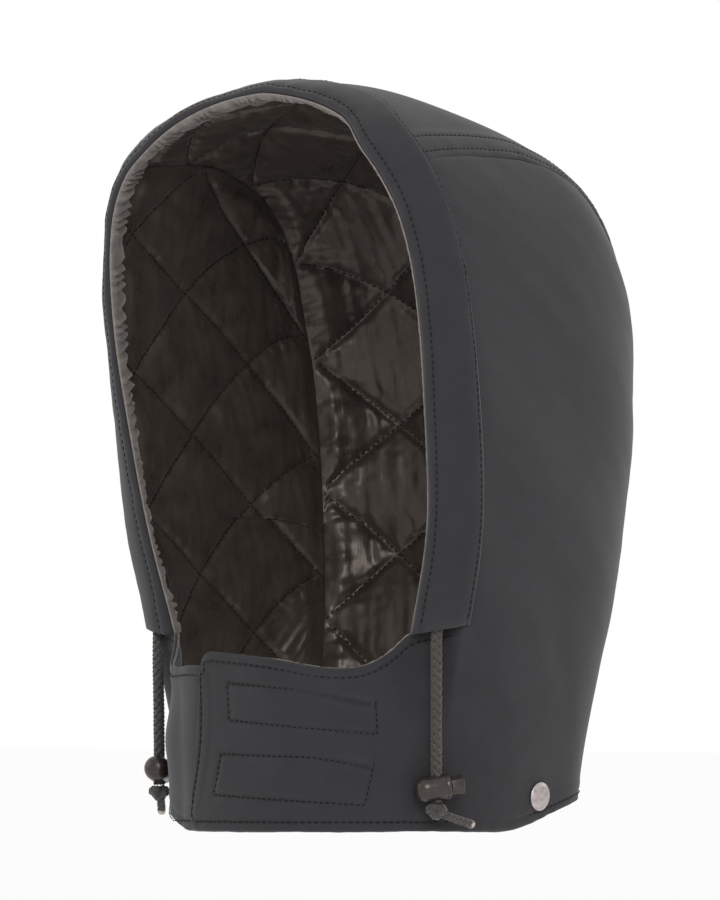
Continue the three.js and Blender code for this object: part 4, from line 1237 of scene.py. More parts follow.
def patch_relief(run, height):
    """The patches stand a little proud, drawn in along their stitching and pinched at one corner."""
    total = np.zeros_like(run)
    for patch in PATCHES:
        across = (run - patch["left"]) / (patch["right"] - patch["left"])
        low = mix(patch["left_low"], patch["right_low"], across)
        high = mix(patch["left_high"], patch["right_high"], across)
        inside = eased((height - low) / 0.002) * eased((high - height) / 0.002)
        inside = inside * eased((run - patch["left"]) / 0.002) * eased((patch["right"] - run) / 0.002)
        outline = patch_outline(patch)
        total += PATCH_LIFT * inside + groove(distance_to(outline, run, height), 0.00055, 0.0009)
        pinch = eased((run - patch["bend"]) / (patch["right"] - patch["bend"]))
        pinch = pinch * eased((patch["right"] + 0.004 - run) / 0.003)
        top_line = distance_to(outline[-2:], run, height)
        above = height > mix(outline[-2][1], outline[-1][1], np.clip(
            (run - patch["bend"]) / (outline[-1][0] - patch["bend"]), 0, 1))
        total -= pinch * PINCH_DEPTH * np.exp(-((top_line / 0.0014) ** 2))
        ridge = np.where(above, np.exp(-(((top_line - 0.003) / 0.0022) ** 2)), 0)
        total += pinch * PINCH_DEPTH * ridge * 0.9
        tugs = undulation(run, height, 0.012, 41 + len(outline), 0.4)
        total += 0.00022 * tugs * np.exp(-distance_to(outline, run, height) / 0.004)
    return total


def panel_relief(run, height, inset, seed):
    """Gentle unevenness of a side panel, with its turned and stitched edges."""
    edge = 0.00035 * eased((0.011 - inset) / 0.003) + groove(inset - EDGE_STITCH, 0.0005, 0.0009)
    pucker = undulation(run, height, 0.009, seed + 1) * np.exp(-inset / 0.005) * 0.0002
    broad = 0.0008 * undulation(run, height, 0.085, seed, 2.0)
    return edge + pucker + broad + 0.00012 * undulation(run, height, 0.024, seed + 2, 1.5)


side_thread = Stitching(32)
for side, flap, mirror in (("left", True, 1), ("right", False, -1)):
    row_stops = [0, 0.35, COLLAR_ROWS - 0.35, COLLAR_ROWS, SIDE_ROWS - 0.4, SIDE_ROWS]
    rows = stepped(row_stops, [9, 72, 9, 76, 9])
    columns = stepped([0, SIDE_STEPS - 0.4, SIDE_STEPS], [58, 9])
    around = stepped([1, 0.90, 0], [26, 100])[:-1]
    outer, out = side_surface(flap, rows, columns, around)
    run = run_lengths(outer, 1)
    height = outer[..., 2]
    cells = np.ones((len(rows) - 1, outer.shape[1] - 1), bool)
    collar_columns = len(around)
    cells[rows[:-1] >= COLLAR_ROWS - 1e-9, :collar_columns] = False
    top = np.full(outer.shape[1], 1.0)
    collar_end = int(np.argmin(np.abs(rows - COLLAR_ROWS)))
    top[:collar_columns + 1] = outer[collar_end, :collar_columns + 1, 2]
    inset = np.minimum(outer[..., 2] - outer[:1, :, 2], top[None, :] - outer[..., 2])
    inset[collar_end:, :collar_columns] = 0
    if flap:
        on_collar = np.arange(outer.shape[1])[None, :] <= collar_columns
        inset = np.minimum(inset, np.where(on_collar, run, 1))
        corner = FLAP_CORNER_RADIUS
        for level, way in ((0, 1), (COLLAR_HEIGHT, -1)):
            off_u = np.maximum(corner - run, 0)
            off_v = np.maximum(corner - way * (height - level), 0)
            rounded = corner - np.hypot(off_u, off_v)
            inset = np.where((off_u > 0) & (off_v > 0), np.minimum(inset, rounded), inset)
    lift = panel_relief(run, height, np.maximum(inset, 0), 50 if flap else 60)
    if flap:
        lift[:, :collar_columns + 1] += patch_relief(run, height)[:, :collar_columns + 1]
    to_back = run_lengths(outer[:, ::-1], 1)[:, ::-1]
    to_top = run_lengths(outer[::-1], 0)[::-1]
    beside_casing = np.ones(outer.shape[1])
    beside_casing[collar_columns:] = eased((columns + 0.1) / 0.9)
    lift = np.where(rows[:, None] > COLLAR_ROWS - 0.5, lift * beside_casing, lift)
    lift -= SEAM_DIP * eased(1 - np.minimum(to_back, to_top) / 0.004)
    shell = outer + out * lift[..., None]
    inner = outer - out * SHELL_THICKNESS
    flip = (mirror, 1, 1)
    panel = cloth_piece(f"side_duck_{side}", shell * flip, inner * flip, (run, height),
                        duck_surface, "shell_duck", cells=cells)
    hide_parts(f"side_panel_{side}")

    def on_front(plane):
        a, b = front_place(plane[:, 0], plane[:, 1], flap)
        at, direction = front_surface(a, b, flap)
        raised = 0.0003 + 0 * plane[:, 0]
        if flap:
            raised = raised + patch_relief(plane[:, 0], plane[:, 1])
        return (at + direction * (raised - 0.0002)[:, None]) * flip, direction * flip

    hem_end = (float(run[0, collar_columns]), EDGE_STITCH)
    top_edge = [
        (run[collar_end, k], outer[collar_end, k, 2] - EDGE_STITCH) for k in range(0, collar_columns, 4)
    ]
    top_edge = [place for place in top_edge if place[0] > FLAP_CORNER_RADIUS]
    if flap:
        turn = np.radians(np.linspace(0, 90, 9))
        inner_corner = FLAP_CORNER_RADIUS - EDGE_STITCH
        upper = [(FLAP_CORNER_RADIUS - inner_corner * math.cos(a),
                  COLLAR_HEIGHT - FLAP_CORNER_RADIUS + inner_corner * math.sin(a)) for a in turn]
        lower = [(FLAP_CORNER_RADIUS - inner_corner * math.cos(a),
                  FLAP_CORNER_RADIUS - inner_corner * math.sin(a)) for a in turn]
        edges = [lower[::-1] + upper, top_edge, [lower[-1], hem_end]]
    else:
        edges = [top_edge, [hem_end, (UNDER_HEM_END, EDGE_STITCH)]]
    for line in edges:
        side_thread.sew(*on_front(plane_line(line)))
    if flap:
        for patch in PATCHES:
            side_thread.sew(*on_front(plane_line(patch_outline(patch))), pitch=0.0030, gap=0.0009)
    hem_rows = np.full(1, EDGE_STITCH / HEM_ROW_HEIGHT)
    hem_points = side_point(hem_rows, np.linspace(0, SIDE_STEPS - 0.1, 240), flap)[0]
    hem_out = outward_at(hem_points)
    side_thread.sew((hem_points - hem_out * 0.0001) * flip, hem_out * flip)
side_thread.piece("side_panel_stitches", thread_surface, "shell_duck")

# Drawstring casing: a folded band of duck round the face opening, sewn down on the panels along
# its outer edge and again near the lip. Its tunnel is open at both lower ends for the cord.
CASING_HALF_THICKNESS = 0.0027
MOUTH_HALF_THICKNESS = 0.0049
MOUTH_FLARE_LENGTH = 0.045
MOUTH_SLANT = 0.010
CASING_CLOTH = 0.0012
SEAM_CORNER = 0.4
TUNNEL_MIDDLE = 0.47
TUNNEL_REACH = 0.32
CASING_STEPS = 340
LIP_STITCH = 0.82
EDGE_ROW = -0.075
CROWN_LAP = 0.45
CROWN_LAP_START = 0.19
CROWN_LAP_RISE = 0.09
CASING_SKIN = [
    dict(across=-0.150, share=0.00, height=0.0001),
    dict(across=-0.168, share=0.00, height=0.0006),
    dict(across=-0.155, share=0.00, height=0.0012),
    dict(across=-0.110, share=0.00, height=0.0015),
    dict(across=EDGE_ROW, share=0.00, height=0.0011),
    dict(across=-0.030, share=0.02, height=0.0015),
    dict(across=0.06, share=0.30, height=0.0010),
    dict(across=0.16, share=0.62, height=0.0004),
    dict(across=0.30, share=0.88, height=0),
    dict(across=0.48, share=1.00, height=0),
    dict(across=0.66, share=0.98, height=0),
    dict(across=0.76, share=0.84, height=0),
    dict(across=LIP_STITCH, share=0.64, height=0),
    dict(across=0.87, share=0.66, height=0),
    dict(across=0.94, share=0.56, height=0),
    dict(across=0.985, share=0.30, height=0),
    dict(across=1.00, share=-0.05, height=0),
    dict(across=0.985, share=-0.42, height=0),
    dict(across=0.92, share=-0.76, height=0),
    dict(across=0.70, share=-0.96, height=0),
    dict(across=0.45, share=-1.00, height=0),
    dict(across=0.20, share=-0.92, height=0),
    dict(across=0.07, share=-0.70, height=0),
    dict(across=0.045, share=-0.35, height=0),
    dict(across=0.02, share=-0.03, height=0),
    dict(across=-0.06, share=0.00, height=0.0001),
]


def band_frame(place, step=0.01):
    """The way from the casing's seam to its lip, the band's outward direction and the seam's."""
    along = arch_point(place + step) - arch_point(place - step)
    inward = unit(np.stack([-along[..., 2], 0 * place, along[..., 0]], axis=-1))
    wrong = (inward[..., 2] > 0) | ((np.abs(place) > 0.4) & (inward[..., 0] * place > 0))
    inward = np.where(wrong[..., None], -inward, inward)
    draw = draw_share(crown_place(crest_height * (1 - place * place)))[..., None]
    to_lip = inward * draw + np.array([0, -1, 0]) * np.sqrt(1 - draw * draw)
    out = unit(np.cross(to_lip, along))
    seam = arch_point(place)
    away = seam * (1, 0, 1) - np.array([0, 0, BEND_HEIGHT])
    out = np.where(np.sum(out * away, axis=-1, keepdims=True) < 0, -out, out)
    return to_lip, out, outward_at(seam), along


def half_thickness_at(z):
    return mix(MOUTH_HALF_THICKNESS, CASING_HALF_THICKNESS, eased((z - MOUTH_HEIGHT) / MOUTH_FLARE_LENGTH))


def band_point(place, across, height):
    """A point of the casing. Across runs from the seam (0) to the lip (1), below 0 on the panels."""
    to_lip, band_out, seam_out, along = band_frame(place)
    out = unit(mix(seam_out, band_out, eased(across / SEAM_CORNER)[..., None]))
    points = arch_point(place) + to_lip * (CASING_WIDTH * np.maximum(across, 0))[..., None]
    back = unit(np.cross(along, seam_out))
    back = np.where(back[..., 1:2] < 0, -back, back)
    points = points - back * (CASING_WIDTH * np.minimum(across, 0))[..., None]
    over = across < 0
    if np.any(over):
        at = points[over]
        for _ in range(3):
            direction = outward_at(at)
            x, y, z = np.moveaxis(at, -1, 0)
            ahead = np.moveaxis(at + direction * 1e-5, -1, 0)
            value = form_value(x, y, np.minimum(z, HOOD_HEIGHT))
            further = form_value(ahead[0], ahead[1], np.minimum(ahead[2], HOOD_HEIGHT))
            slope = (further - value) / 1e-5
            at = at - direction * (value / np.maximum(slope, 1))[..., None]
        points[over] = at
        out[over] = outward_at(at)
    return points + out * height[..., None], out


mouth_place = float(arch_place(MOUTH_HEIGHT))
lip_mouth_place = float(arch_place(MOUTH_HEIGHT - MOUTH_SLANT))


def casing_point(share, across, height):
    """A point of the casing, whose sewn edge laps less far over the panels towards the crown."""
    place = mix(mouth_place, lip_mouth_place, np.clip(across, 0, 1)) * share
    lap = mix(1, CROWN_LAP, eased((arch_point(place)[..., 2] - CROWN_LAP_START) / CROWN_LAP_RISE))
    return band_point(place, np.where(across < 0, across * lap, across), height)


def casing_relief(across, run):
    """Soft drag lines across the band, tighter beside its stitching."""
    ripple = undulation(run, across * CASING_WIDTH, 0.009, 71, 3.5) * 0.00022
    near = np.exp(-np.abs(across - LIP_STITCH) / 0.12) + np.exp(-np.abs(across - EDGE_ROW) / 0.12)
    broad = undulation(run, across * CASING_WIDTH, 0.055, 72, 1.0) * 0.0005
    return ripple * (0.35 + near) + broad * eased((across + 0.1) / 0.3)


skin = {key: np.array([row[key] for row in CASING_SKIN]) for key in CASING_SKIN[0]}
share = np.linspace(-1, 1, CASING_STEPS + 1)[:, None]
share, across = np.broadcast_arrays(share, skin["across"][None, :])
seam_line = casing_point(share[:, 0], 0 * share[:, 0], 0 * share[:, 0])[0]
casing_run = run_lengths(seam_line[:, None], 0)
half = half_thickness_at(seam_line[:, 2])[:, None]
skin_height = skin["share"] * half + skin["height"]
outside = eased((skin["share"] + 0.1) / 0.2)
relief = casing_relief(across, casing_run) * np.where(across > -0.13, outside, 0)
waver = 0.012 * undulation(casing_run, 0 * casing_run, 0.030, 73) * eased((across - 0.85) / 0.1)
outer_skin, _ = casing_point(share, across + waver, skin_height + relief)
angle = np.arctan2(skin_height / half * 0.5, across - TUNNEL_MIDDLE)
tunnel_height = np.maximum(half - CASING_CLOTH, 0.0006) * 0.86 * np.sin(angle)
tunnel_skin, _ = casing_point(share, TUNNEL_MIDDLE + TUNNEL_REACH * np.cos(angle), tunnel_height)
skin_run = run_lengths(outer_skin, 1)
rings = len(CASING_SKIN)
steps = CASING_STEPS + 1
outer_index = np.arange(steps * rings).reshape(steps, rings)
tunnel_index = outer_index + steps * rings
along_skin = np.repeat(casing_run, rings, axis=1)
mouths = [
    np.stack([tunnel_index[0], outer_index[0]]),
    np.stack([outer_index[-1], tunnel_index[-1]]),
]
faces = [grid_faces(outer_index, True), grid_faces(tunnel_index, True)[:, ::-1]]
faces += [grid_faces(mouth, True) for mouth in mouths]
marks = [grid_marks(skin_run, along_skin, True)] * 2 + [np.zeros((rings, 4, 2))] * 2
casing_points = np.concatenate([outer_skin.reshape(-1, 3), tunnel_skin.reshape(-1, 3)])
casing_piece = make_piece("drawstring_casing", in_frame(casing_points), np.vstack(faces),
                          np.vstack(marks), duck_surface)
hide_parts("face_casing")
casing_thread = Stitching(33)
for row_across, row_height in ((LIP_STITCH, 0.64), (EDGE_ROW, None)):
    fine_share = np.linspace(-0.997, 0.997, 900)
    fine_half = half_thickness_at(casing_point(fine_share, 0 * fine_share, 0 * fine_share)[0][:, 2])
    heights = 0.0011 + 0 * fine_half if row_height is None else row_height * fine_half
    fine_across = row_across + 0 * fine_share
    relief = casing_relief(fine_across, np.interp(fine_share, share[:, 0], casing_run[:, 0]))
    line, line_out = casing_point(fine_share, fine_across, heights + relief)
    casing_thread.sew(line, line_out)
casing_thread.piece("casing_stitches", thread_surface, "shell_duck")

# Quilted lining: three panels of brown-black satin over thin wadding, quilted by machine in large
# diamonds, sewn to one another down the two seams, and caught in the hem and under the casing.
LINING_GAP = 0.0006
LINING_FLAT = 0.0014
LINING_REACH = 0.45
LINING_SPREAD = 0.016
SPREAD_END = 1.3
QUILT_STEPS = 12
QUILT_TALL = 0.066
QUILT_WIDE = 0.092
QUILT_SPACING = 1 / math.hypot(1 / QUILT_TALL, 1 / QUILT_WIDE)
SIDE_QUILT = dict(row=11.1, tall=3.95, column=4.2, wide=6.6)
CENTRE_QUILT = dict(row=12.0, tall=4.25, column=-0.6, wide=0.8)
PUFF = 0.0052
PUFF_LIMIT = 0.0062
PUFF_EDGE = 0.010
SNAP_CLEAR = 0.013
SNAP_PLACE = (0.009, 0.016)
CLOTH_FRAMES = 22
CLOTH_PRESSURE = 5.0
SPARE_ACROSS = 1.045
SPARE_ALONG = 1.03
PINNED_WITHIN = 0.0006
DRIFT_LIMIT = 0.002


def lining_half_at(station):
    """The lining's seams lie further round than the shell's in the middle of the hood's height."""
    climbing = np.sin(np.minimum(station, 1) * math.pi / 2)
    fading = 1 - eased((station - 1) / SPREAD_END)
    return strip_half_at(station) + LINING_SPREAD * np.where(station < 1, climbing, fading)


def quilt_places(origin, period, low, high):
    """Places on the quilting's own steps from low to high, with both ends kept."""
    step = period / (2 * QUILT_STEPS)
    first = math.ceil((low - origin) / step)
    last = math.floor((high - origin) / step)
    inner = origin + step * np.arange(first, last + 1)
    inner = inner[(inner > low + step / 3) & (inner < high - step / 3)]
    return np.r_[low, inner, high]


def off_quilting(quilt, rows, columns):
    """How far each place lies from the two families of quilting lines, in metres."""
    p = (rows - quilt["row"]) / quilt["tall"]
    q = (columns - quilt["column"]) / quilt["wide"]
    return [np.abs(line - np.round(line)) * QUILT_SPACING for line in (p + q, p - q)]


def doubled(values, smooth=True):
    """A grid with a new row and column between each two, on a smooth surface through the old."""
    for axis in (0, 1):
        rows = np.moveaxis(values, axis, 0)
        middle = (rows[:-1] + rows[1:]) / 2
        if smooth and len(rows) > 3:
            middle[1:-1] = (9 * (rows[1:-2] + rows[2:-1]) - rows[:-3] - rows[3:]) / 16
        result = np.empty((2 * len(rows) - 1, *rows.shape[1:]))
        result[::2] = rows
        result[1::2] = middle
        values = np.moveaxis(result, 0, axis)
    return values


def pressed_in(points, edge):
    """Nothing puffs at a panel's edges or round a snap."""
    seat = np.array([half_width_at(*SNAP_PLACE), *SNAP_PLACE])
    off_snap = np.linalg.norm(points - seat, axis=-1)
    return eased(edge / PUFF_EDGE) * eased((off_snap - SNAP_CLEAR * 0.6) / SNAP_CLEAR)


def inflated(name, base, inward, pinned, start, seed):
    """Blows the satin up between its quilting lines by cloth simulation, and returns its movement."""
    steps, width = base.shape[:2]
    draw = np.random.default_rng(seed)
    begin = base + inward * (start * 0.9 + draw.uniform(0, 0.0003, start.shape) * ~pinned)[..., None]
    mesh = bpy.data.meshes.new(name)
    faces = grid_faces(np.arange(steps * width).reshape(steps, width))
    mesh.from_pydata(begin.reshape(-1, 3).tolist(), [], faces.tolist())
    mesh.update()
    middle = mesh.polygons[len(faces) // 2]
    if np.dot(middle.normal, inward.reshape(-1, 3)[middle.vertices[0]]) < 0:
        mesh.flip_normals()
    sheet = bpy.data.objects.new(name, mesh)
    bpy.context.scene.collection.objects.link(sheet)
    held = sheet.vertex_groups.new(name="held")
    held.add(np.flatnonzero(pinned.ravel()).tolist(), 1.0, "REPLACE")
    sheet.shape_key_add(name="Basis")
    flat = sheet.shape_key_add(name="cut")
    across = run_lengths(base, 1)
    across = across - across[:, width // 2:width // 2 + 1]
    along = run_lengths(base, 0)
    cut = np.stack([across * SPARE_ACROSS, along * SPARE_ALONG, 0 * along], axis=-1)
    flat.data.foreach_set("co", cut.astype(np.float32).ravel())
    flat.value = 0
    modifier = sheet.modifiers.new("inflate", "CLOTH")
    settings = modifier.settings
    settings.quality = 6
    settings.mass = 0.12
    settings.tension_stiffness = 18
    settings.compression_stiffness = 18
    settings.shear_stiffness = 6
    settings.bending_stiffness = 0.4
    settings.use_pressure = True
    settings.uniform_pressure_force = CLOTH_PRESSURE
    settings.vertex_group_mass = "held"
    settings.pin_stiffness = 1
    settings.rest_shape_key = flat
    settings.effector_weights.gravity = 0
    modifier.point_cache.frame_start = 1
    modifier.point_cache.frame_end = CLOTH_FRAMES
    scene = bpy.context.scene
    for number in range(1, CLOTH_FRAMES + 1):
        scene.frame_set(number)
    result = sheet.evaluated_get(bpy.context.evaluated_depsgraph_get()).to_mesh()
    points = np.empty(steps * width * 3, np.float32)
    result.vertices.foreach_get("co", points)
    scene.frame_set(1)
    bpy.data.objects.remove(sheet)
    bpy.data.meshes.remove(mesh)
    return points.reshape(steps, width, 3).astype(float) - base


def side_lining_place(rows, columns, left):
    """The form under a side lining, its outward direction and the shell's depth over it."""
    points = side_point(rows, np.maximum(columns, 0), left, lining_half_at)
    out = outward_at(points)
    under = half_thickness_at(points[..., 2])
    depth = mix(np.maximum(under, SHELL_THICKNESS), SHELL_THICKNESS, eased(columns / 1.4)[None, :])
    depth = np.where(rows[:, None] < COLLAR_ROWS - 0.5, SHELL_THICKNESS, depth)
    place = arch_place(np.clip(seam_height(rows), MOUTH_HEIGHT - 0.001, crest_height))
    ahead = columns < 0
    if np.any(ahead):
        spread = np.broadcast_arrays(place[:, None], -columns[ahead][None, :])
        band, band_out = band_point(spread[0], LINING_REACH * spread[1], 0 * spread[1])
        points[:, ahead] = band
        out[:, ahead] = band_out
    return points, out, depth


def centre_lining_place(rows, shares):
    """The form under the centre lining. Shares are of the way round from its middle to a seam."""
    station = station_of(np.minimum(rows, ALL_STEPS))[:, None]
    half = lining_half_at(station) - SEAM_GAP / 2
    fine = np.linspace(0, 1, 80)
    run = run_lengths(strip_point(station, half * fine), 1)
    wide = np.stack([np.interp(np.abs(shares), line / line[-1], fine) for line in run])
    x = half * wide * np.sign(shares)
    points = strip_point(np.broadcast_to(station, x.shape), x)
    out = outward_at(points)
    nearing = eased(rows - ALL_STEPS + 1.2)
    depth = mix(SHELL_THICKNESS, CASING_HALF_THICKNESS, nearing)[:, None] + 0 * x
    ahead = rows > ALL_STEPS
    if np.any(ahead):
        across = LINING_REACH * (rows[ahead] - ALL_STEPS)[:, None] + 0 * x[ahead]
        place = np.sign(x[ahead]) * place_of_width(np.abs(x[ahead]))
        points[ahead], out[ahead] = band_point(place, across, 0 * across)
    return points, out, depth


def satin_material():
    material, tree, shader = new_material("lining_satin")
    slub = noise(tree, grain_place(tree, (1, 0.12, 1)), 900, 3)
    cloud = noise(tree, grain_place(tree), 60, 5)
    crease = noise(tree, grain_place(tree, (1, 0.3, 1)), 210, 3)
    cloudy = ranged(tree, cloud, 0.3, 0.7, 0, 1)
    tone = mixed(tree, cloudy, (0.0250, 0.0196, 0.0160, 1), (0.044, 0.0350, 0.0292, 1))
    streak = ranged(tree, slub, 0.55, 0.75, 0, 0.6)
    feed(tree, shader, "Base Color", mixed(tree, streak, tone, (0.066, 0.054, 0.0465, 1)))
    feed(tree, shader, "Roughness", ranged(tree, cloud, 0.3, 0.7, 0.25, 0.37))
    preset(shader, {"Specular IOR Level": 0.42, "Specular Tint": (0.92, 0.80, 0.72, 1)})
    preset(shader, {"Sheen Weight": 0.06, "Sheen Roughness": 0.35})
    height = computed(tree, "ADD", crease, computed(tree, "MULTIPLY", slub, 0.12))
    bumped(tree, shader, height, 0.38, 0.0006)
    return material


def quilted(name, place, rows, columns, quilt, edge_of, cells, seed, flip, relief):
    """A lining panel: its satin blown up between the quilting, drawn in along it, closed behind."""
    points, out, depth = place(rows, columns)
    inner = points - out * (depth + LINING_GAP + LINING_FLAT)[..., None]
    rows, columns = np.broadcast_arrays(rows[:, None], columns[None, :])
    lines = off_quilting(quilt, rows, columns)
    pressed = pressed_in(points, edge_of(points, rows, columns))
    pillow = np.prod([np.sin(math.pi / 2 * line / (QUILT_SPACING / 2)) for line in lines], axis=0)
    start = PUFF * pillow ** 0.6 * pressed
    pinned = (np.minimum(*lines) < PINNED_WITHIN) | (pressed < 0.02)
    movement = inflated(name + "_blown", inner, -out, pinned, start, seed)
    height = np.sum(movement * -out, axis=-1)
    drift = movement + out * height[..., None]
    length = np.linalg.norm(drift, axis=-1, keepdims=True)
    drift = drift * np.minimum(1, DRIFT_LIMIT / np.maximum(length, 1e-9))
    height = doubled(np.clip(height, -0.0004, PUFF_LIMIT))
    drift = doubled(drift)
    rows = doubled(rows, False)
    columns = doubled(columns, False)
    points, out, depth = place(rows[:, 0], columns[0])
    run = run_lengths(points, 1)
    climb = run_lengths(points, 0)
    lines = off_quilting(quilt, rows, columns)
    near = np.minimum(*lines)
    pressed = pressed_in(points, edge_of(points, rows, columns))
    pucker = undulation(run, climb, 0.0058, seed + 3) * np.exp(-near / 0.0050) * 0.00055
    height = height + pucker * pressed + sum(groove(line, 0.0011, 0.0014) for line in lines) * pressed
    ripple = 0.00035 * undulation(run, climb, 0.0085, seed + 4, 4.0) * pressed
    height = height + ripple + relief(run, climb)
    level = depth + LINING_GAP
    outer = points - out * level[..., None]
    inner = points - out * (level + LINING_FLAT + np.maximum(height, -0.0009))[..., None] + drift
    piece = cloth_piece(name, outer * flip, inner * flip, (run, climb),
                        satin_surface, "lining_satin", cells=cells(rows, columns))
    return piece, rows, columns, inner * flip, -out * flip


def quilting_seams(thread, quilt, rows, columns, inner, out, shown):
    """Sews along each quilting line, on the grid's own surface."""
    row_line, column_line = rows[:, 0], columns[0]
    p_low, p_high = [(row - quilt["row"]) / quilt["tall"] for row in row_line[[0, -1]]]
    q_ends = [(column - quilt["column"]) / quilt["wide"] for column in column_line[[0, -1]]]
    for sign in (1, -1):
        q_low, q_high = q_ends[::sign]
        for k in range(math.ceil(p_low + sign * q_low), math.floor(p_high + sign * q_high) + 1):
            p = np.linspace(p_low, p_high, 1600)
            q = sign * (k - p)
            row = quilt["row"] + p * quilt["tall"]
            column = quilt["column"] + q * quilt["wide"]
            kept = (column > column_line[0]) & (column < column_line[-1]) & shown(row, column)
            if kept.sum() < 20:
                continue
            row_share = np.interp(row[kept], row_line, np.linspace(0, 1, len(row_line)))
            column_share = np.interp(column[kept], column_line, np.linspace(0, 1, len(column_line)))
            line = sampled(inner, row_share, column_share)
            thread.sew(line, sampled(out, row_share, column_share), pitch=0.0034, gap=0.0011, lift=0.0001)


satin_surface = satin_material()
lining_thread = Stitching(34)
side_rows = quilt_places(SIDE_QUILT["row"], SIDE_QUILT["tall"], 0, SIDE_ROWS)
side_rows[np.argmin(np.abs(side_rows - COLLAR_ROWS))] = COLLAR_ROWS
side_columns = np.r_[-1, -0.5, quilt_places(SIDE_QUILT["column"], SIDE_QUILT["wide"], 0, SIDE_STEPS)]


def side_edge(points, rows, columns):
    """Distance from a side lining's seams, its hem and its front edge."""
    to_back = run_lengths(points[:, ::-1], 1)[:, ::-1]
    to_top = run_lengths(points[::-1], 0)[::-1]
    front = np.where(columns < 0, 0, run_lengths(points, 1) - 0.012)
    front = np.minimum(np.maximum(front, 0), run_lengths(points, 0))
    return np.minimum(np.minimum(to_back, to_top), front)


def side_cells(rows, columns):
    return ((columns[:-1, :-1] >= 0) | (rows[:-1, :-1] >= COLLAR_ROWS)).ravel()


def side_relief(run, climb):
    """Soft drag lines, and a valley where the panel is sewn to its neighbour."""
    to_back = run[:, -1:] - run
    ripples = undulation(climb, run, 0.0075, 81, 3.0) * np.exp(-to_back / 0.006) * 0.00045
    return ripples - 0.0009 * np.exp(-to_back / 0.0022) + 0.0006 * undulation(run, climb, 0.045, 82, 2.5)


def side_shown(row, column):
    return (column > 0.05) & (row > 0.1) & (row < SIDE_ROWS - 0.1)


for side, left, mirror, seed in (("left", True, 1, 91), ("right", False, -1, 95)):
    piece, *surface = quilted(
        f"quilted_lining_{side}", lambda r, c: side_lining_place(r, c, left), side_rows, side_columns,
        SIDE_QUILT, side_edge, side_cells, seed, (mirror, 1, 1), side_relief)
    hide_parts(f"lining_{side}")
    quilting_seams(lining_thread, SIDE_QUILT, *surface, side_shown)

centre_rows = quilt_places(CENTRE_QUILT["row"], CENTRE_QUILT["tall"], 0, ALL_STEPS)
centre_rows = np.r_[centre_rows, centre_rows[-1] + 0.5, centre_rows[-1] + 1]
centre_columns = quilt_places(CENTRE_QUILT["column"], CENTRE_QUILT["wide"], -1, 1)


def centre_edge(points, rows, columns):
    run = run_lengths(points, 1)
    climb = run_lengths(points, 0)
    ends = np.minimum(climb, np.maximum(climb[-1:] - climb - 0.016, 0))
    return np.minimum(np.minimum(run, run[:, -1:] - run), ends)


def centre_cells(rows, columns):
    return np.ones((rows.shape[0] - 1) * (rows.shape[1] - 1), bool)


def centre_shown(row, column):
    return (row > 0.1) & (row < ALL_STEPS - 0.5)


def centre_relief(run, climb):
    """The centre panel is eased on to the sides, so its edges ripple across the seams."""
    total = 0.0006 * undulation(run, climb, 0.045, 83, 2.0)
    for to_seam, number in ((run, 84), (run[:, -1:] - run, 85)):
        ripple = undulation(climb, to_seam, 0.0065, number, 4.0) * np.exp(-to_seam / 0.013) * 0.0010
        total = total + ripple * eased(to_seam / 0.002)
        total = total - 0.0009 * np.exp(-to_seam / 0.0022)
    return total


piece, *surface = quilted(
    "quilted_lining_centre", centre_lining_place, centre_rows, centre_columns, CENTRE_QUILT,
    centre_edge, centre_cells, 99, (1, 1, 1), centre_relief)
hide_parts("lining_center")
quilting_seams(lining_thread, CENTRE_QUILT, *surface, centre_shown)
lining_thread.piece("quilting_stitches", thread_surface, "lining_satin")

# Gathered strip: a band of the lining's satin drawn up into small pleats, sewn into the casing's
# lip and down over the quilted lining's raw edge.
GATHER_THICKNESS = 0.001
PLEAT = 0.0062
PLEAT_DEPTH = 0.0025
GATHER_MIDDLE = 0.74
GATHER_STEPS = 1250
GATHER_SKIN = [
    dict(across=0.14, drop=1.00, over=0.0016, pleats=0.30),
    dict(across=0.20, drop=1.00, over=0.0019, pleats=0.75),
    dict(across=0.30, drop=1.00, over=0.0019, pleats=1.0),
    dict(across=0.42, drop=1.00, over=0.0019, pleats=1.0),
    dict(across=0.54, drop=1.00, over=0.0014, pleats=1.0),
    dict(across=0.66, drop=1.00, over=0.0006, pleats=1.0),
    dict(across=0.77, drop=0.96, over=0.0000, pleats=1.0),
    dict(across=0.86, drop=0.88, over=0.0000, pleats=1.0),
    dict(across=0.93, drop=0.74, over=0.0000, pleats=0.85),
    dict(across=0.98, drop=0.54, over=0.0000, pleats=0.6),
    dict(across=1.015, drop=0.24, over=0.0000, pleats=0.2),
]


def gathered_material():
    material, tree, shader = new_material("gathered_satin")
    slub = noise(tree, grain_place(tree, (0.15, 1, 1)), 1300, 3)
    cloud = noise(tree, grain_place(tree, (0.4, 1, 1)), 260, 4)
    cloudy = ranged(tree, cloud, 0.3, 0.7, 0, 1)
    tone = mixed(tree, cloudy, (0.080, 0.068, 0.060, 1), (0.150, 0.130, 0.118, 1))
    streak = ranged(tree, slub, 0.4, 0.7, 0, 0.5)
    feed(tree, shader, "Base Color", mixed(tree, streak, tone, (0.17, 0.15, 0.14, 1)))
    preset(shader, {"Roughness": 0.5, "Sheen Weight": 0.2, "Sheen Roughness": 0.4})
    bumped(tree, shader, cloud, 0.5, 0.0004)
    return material


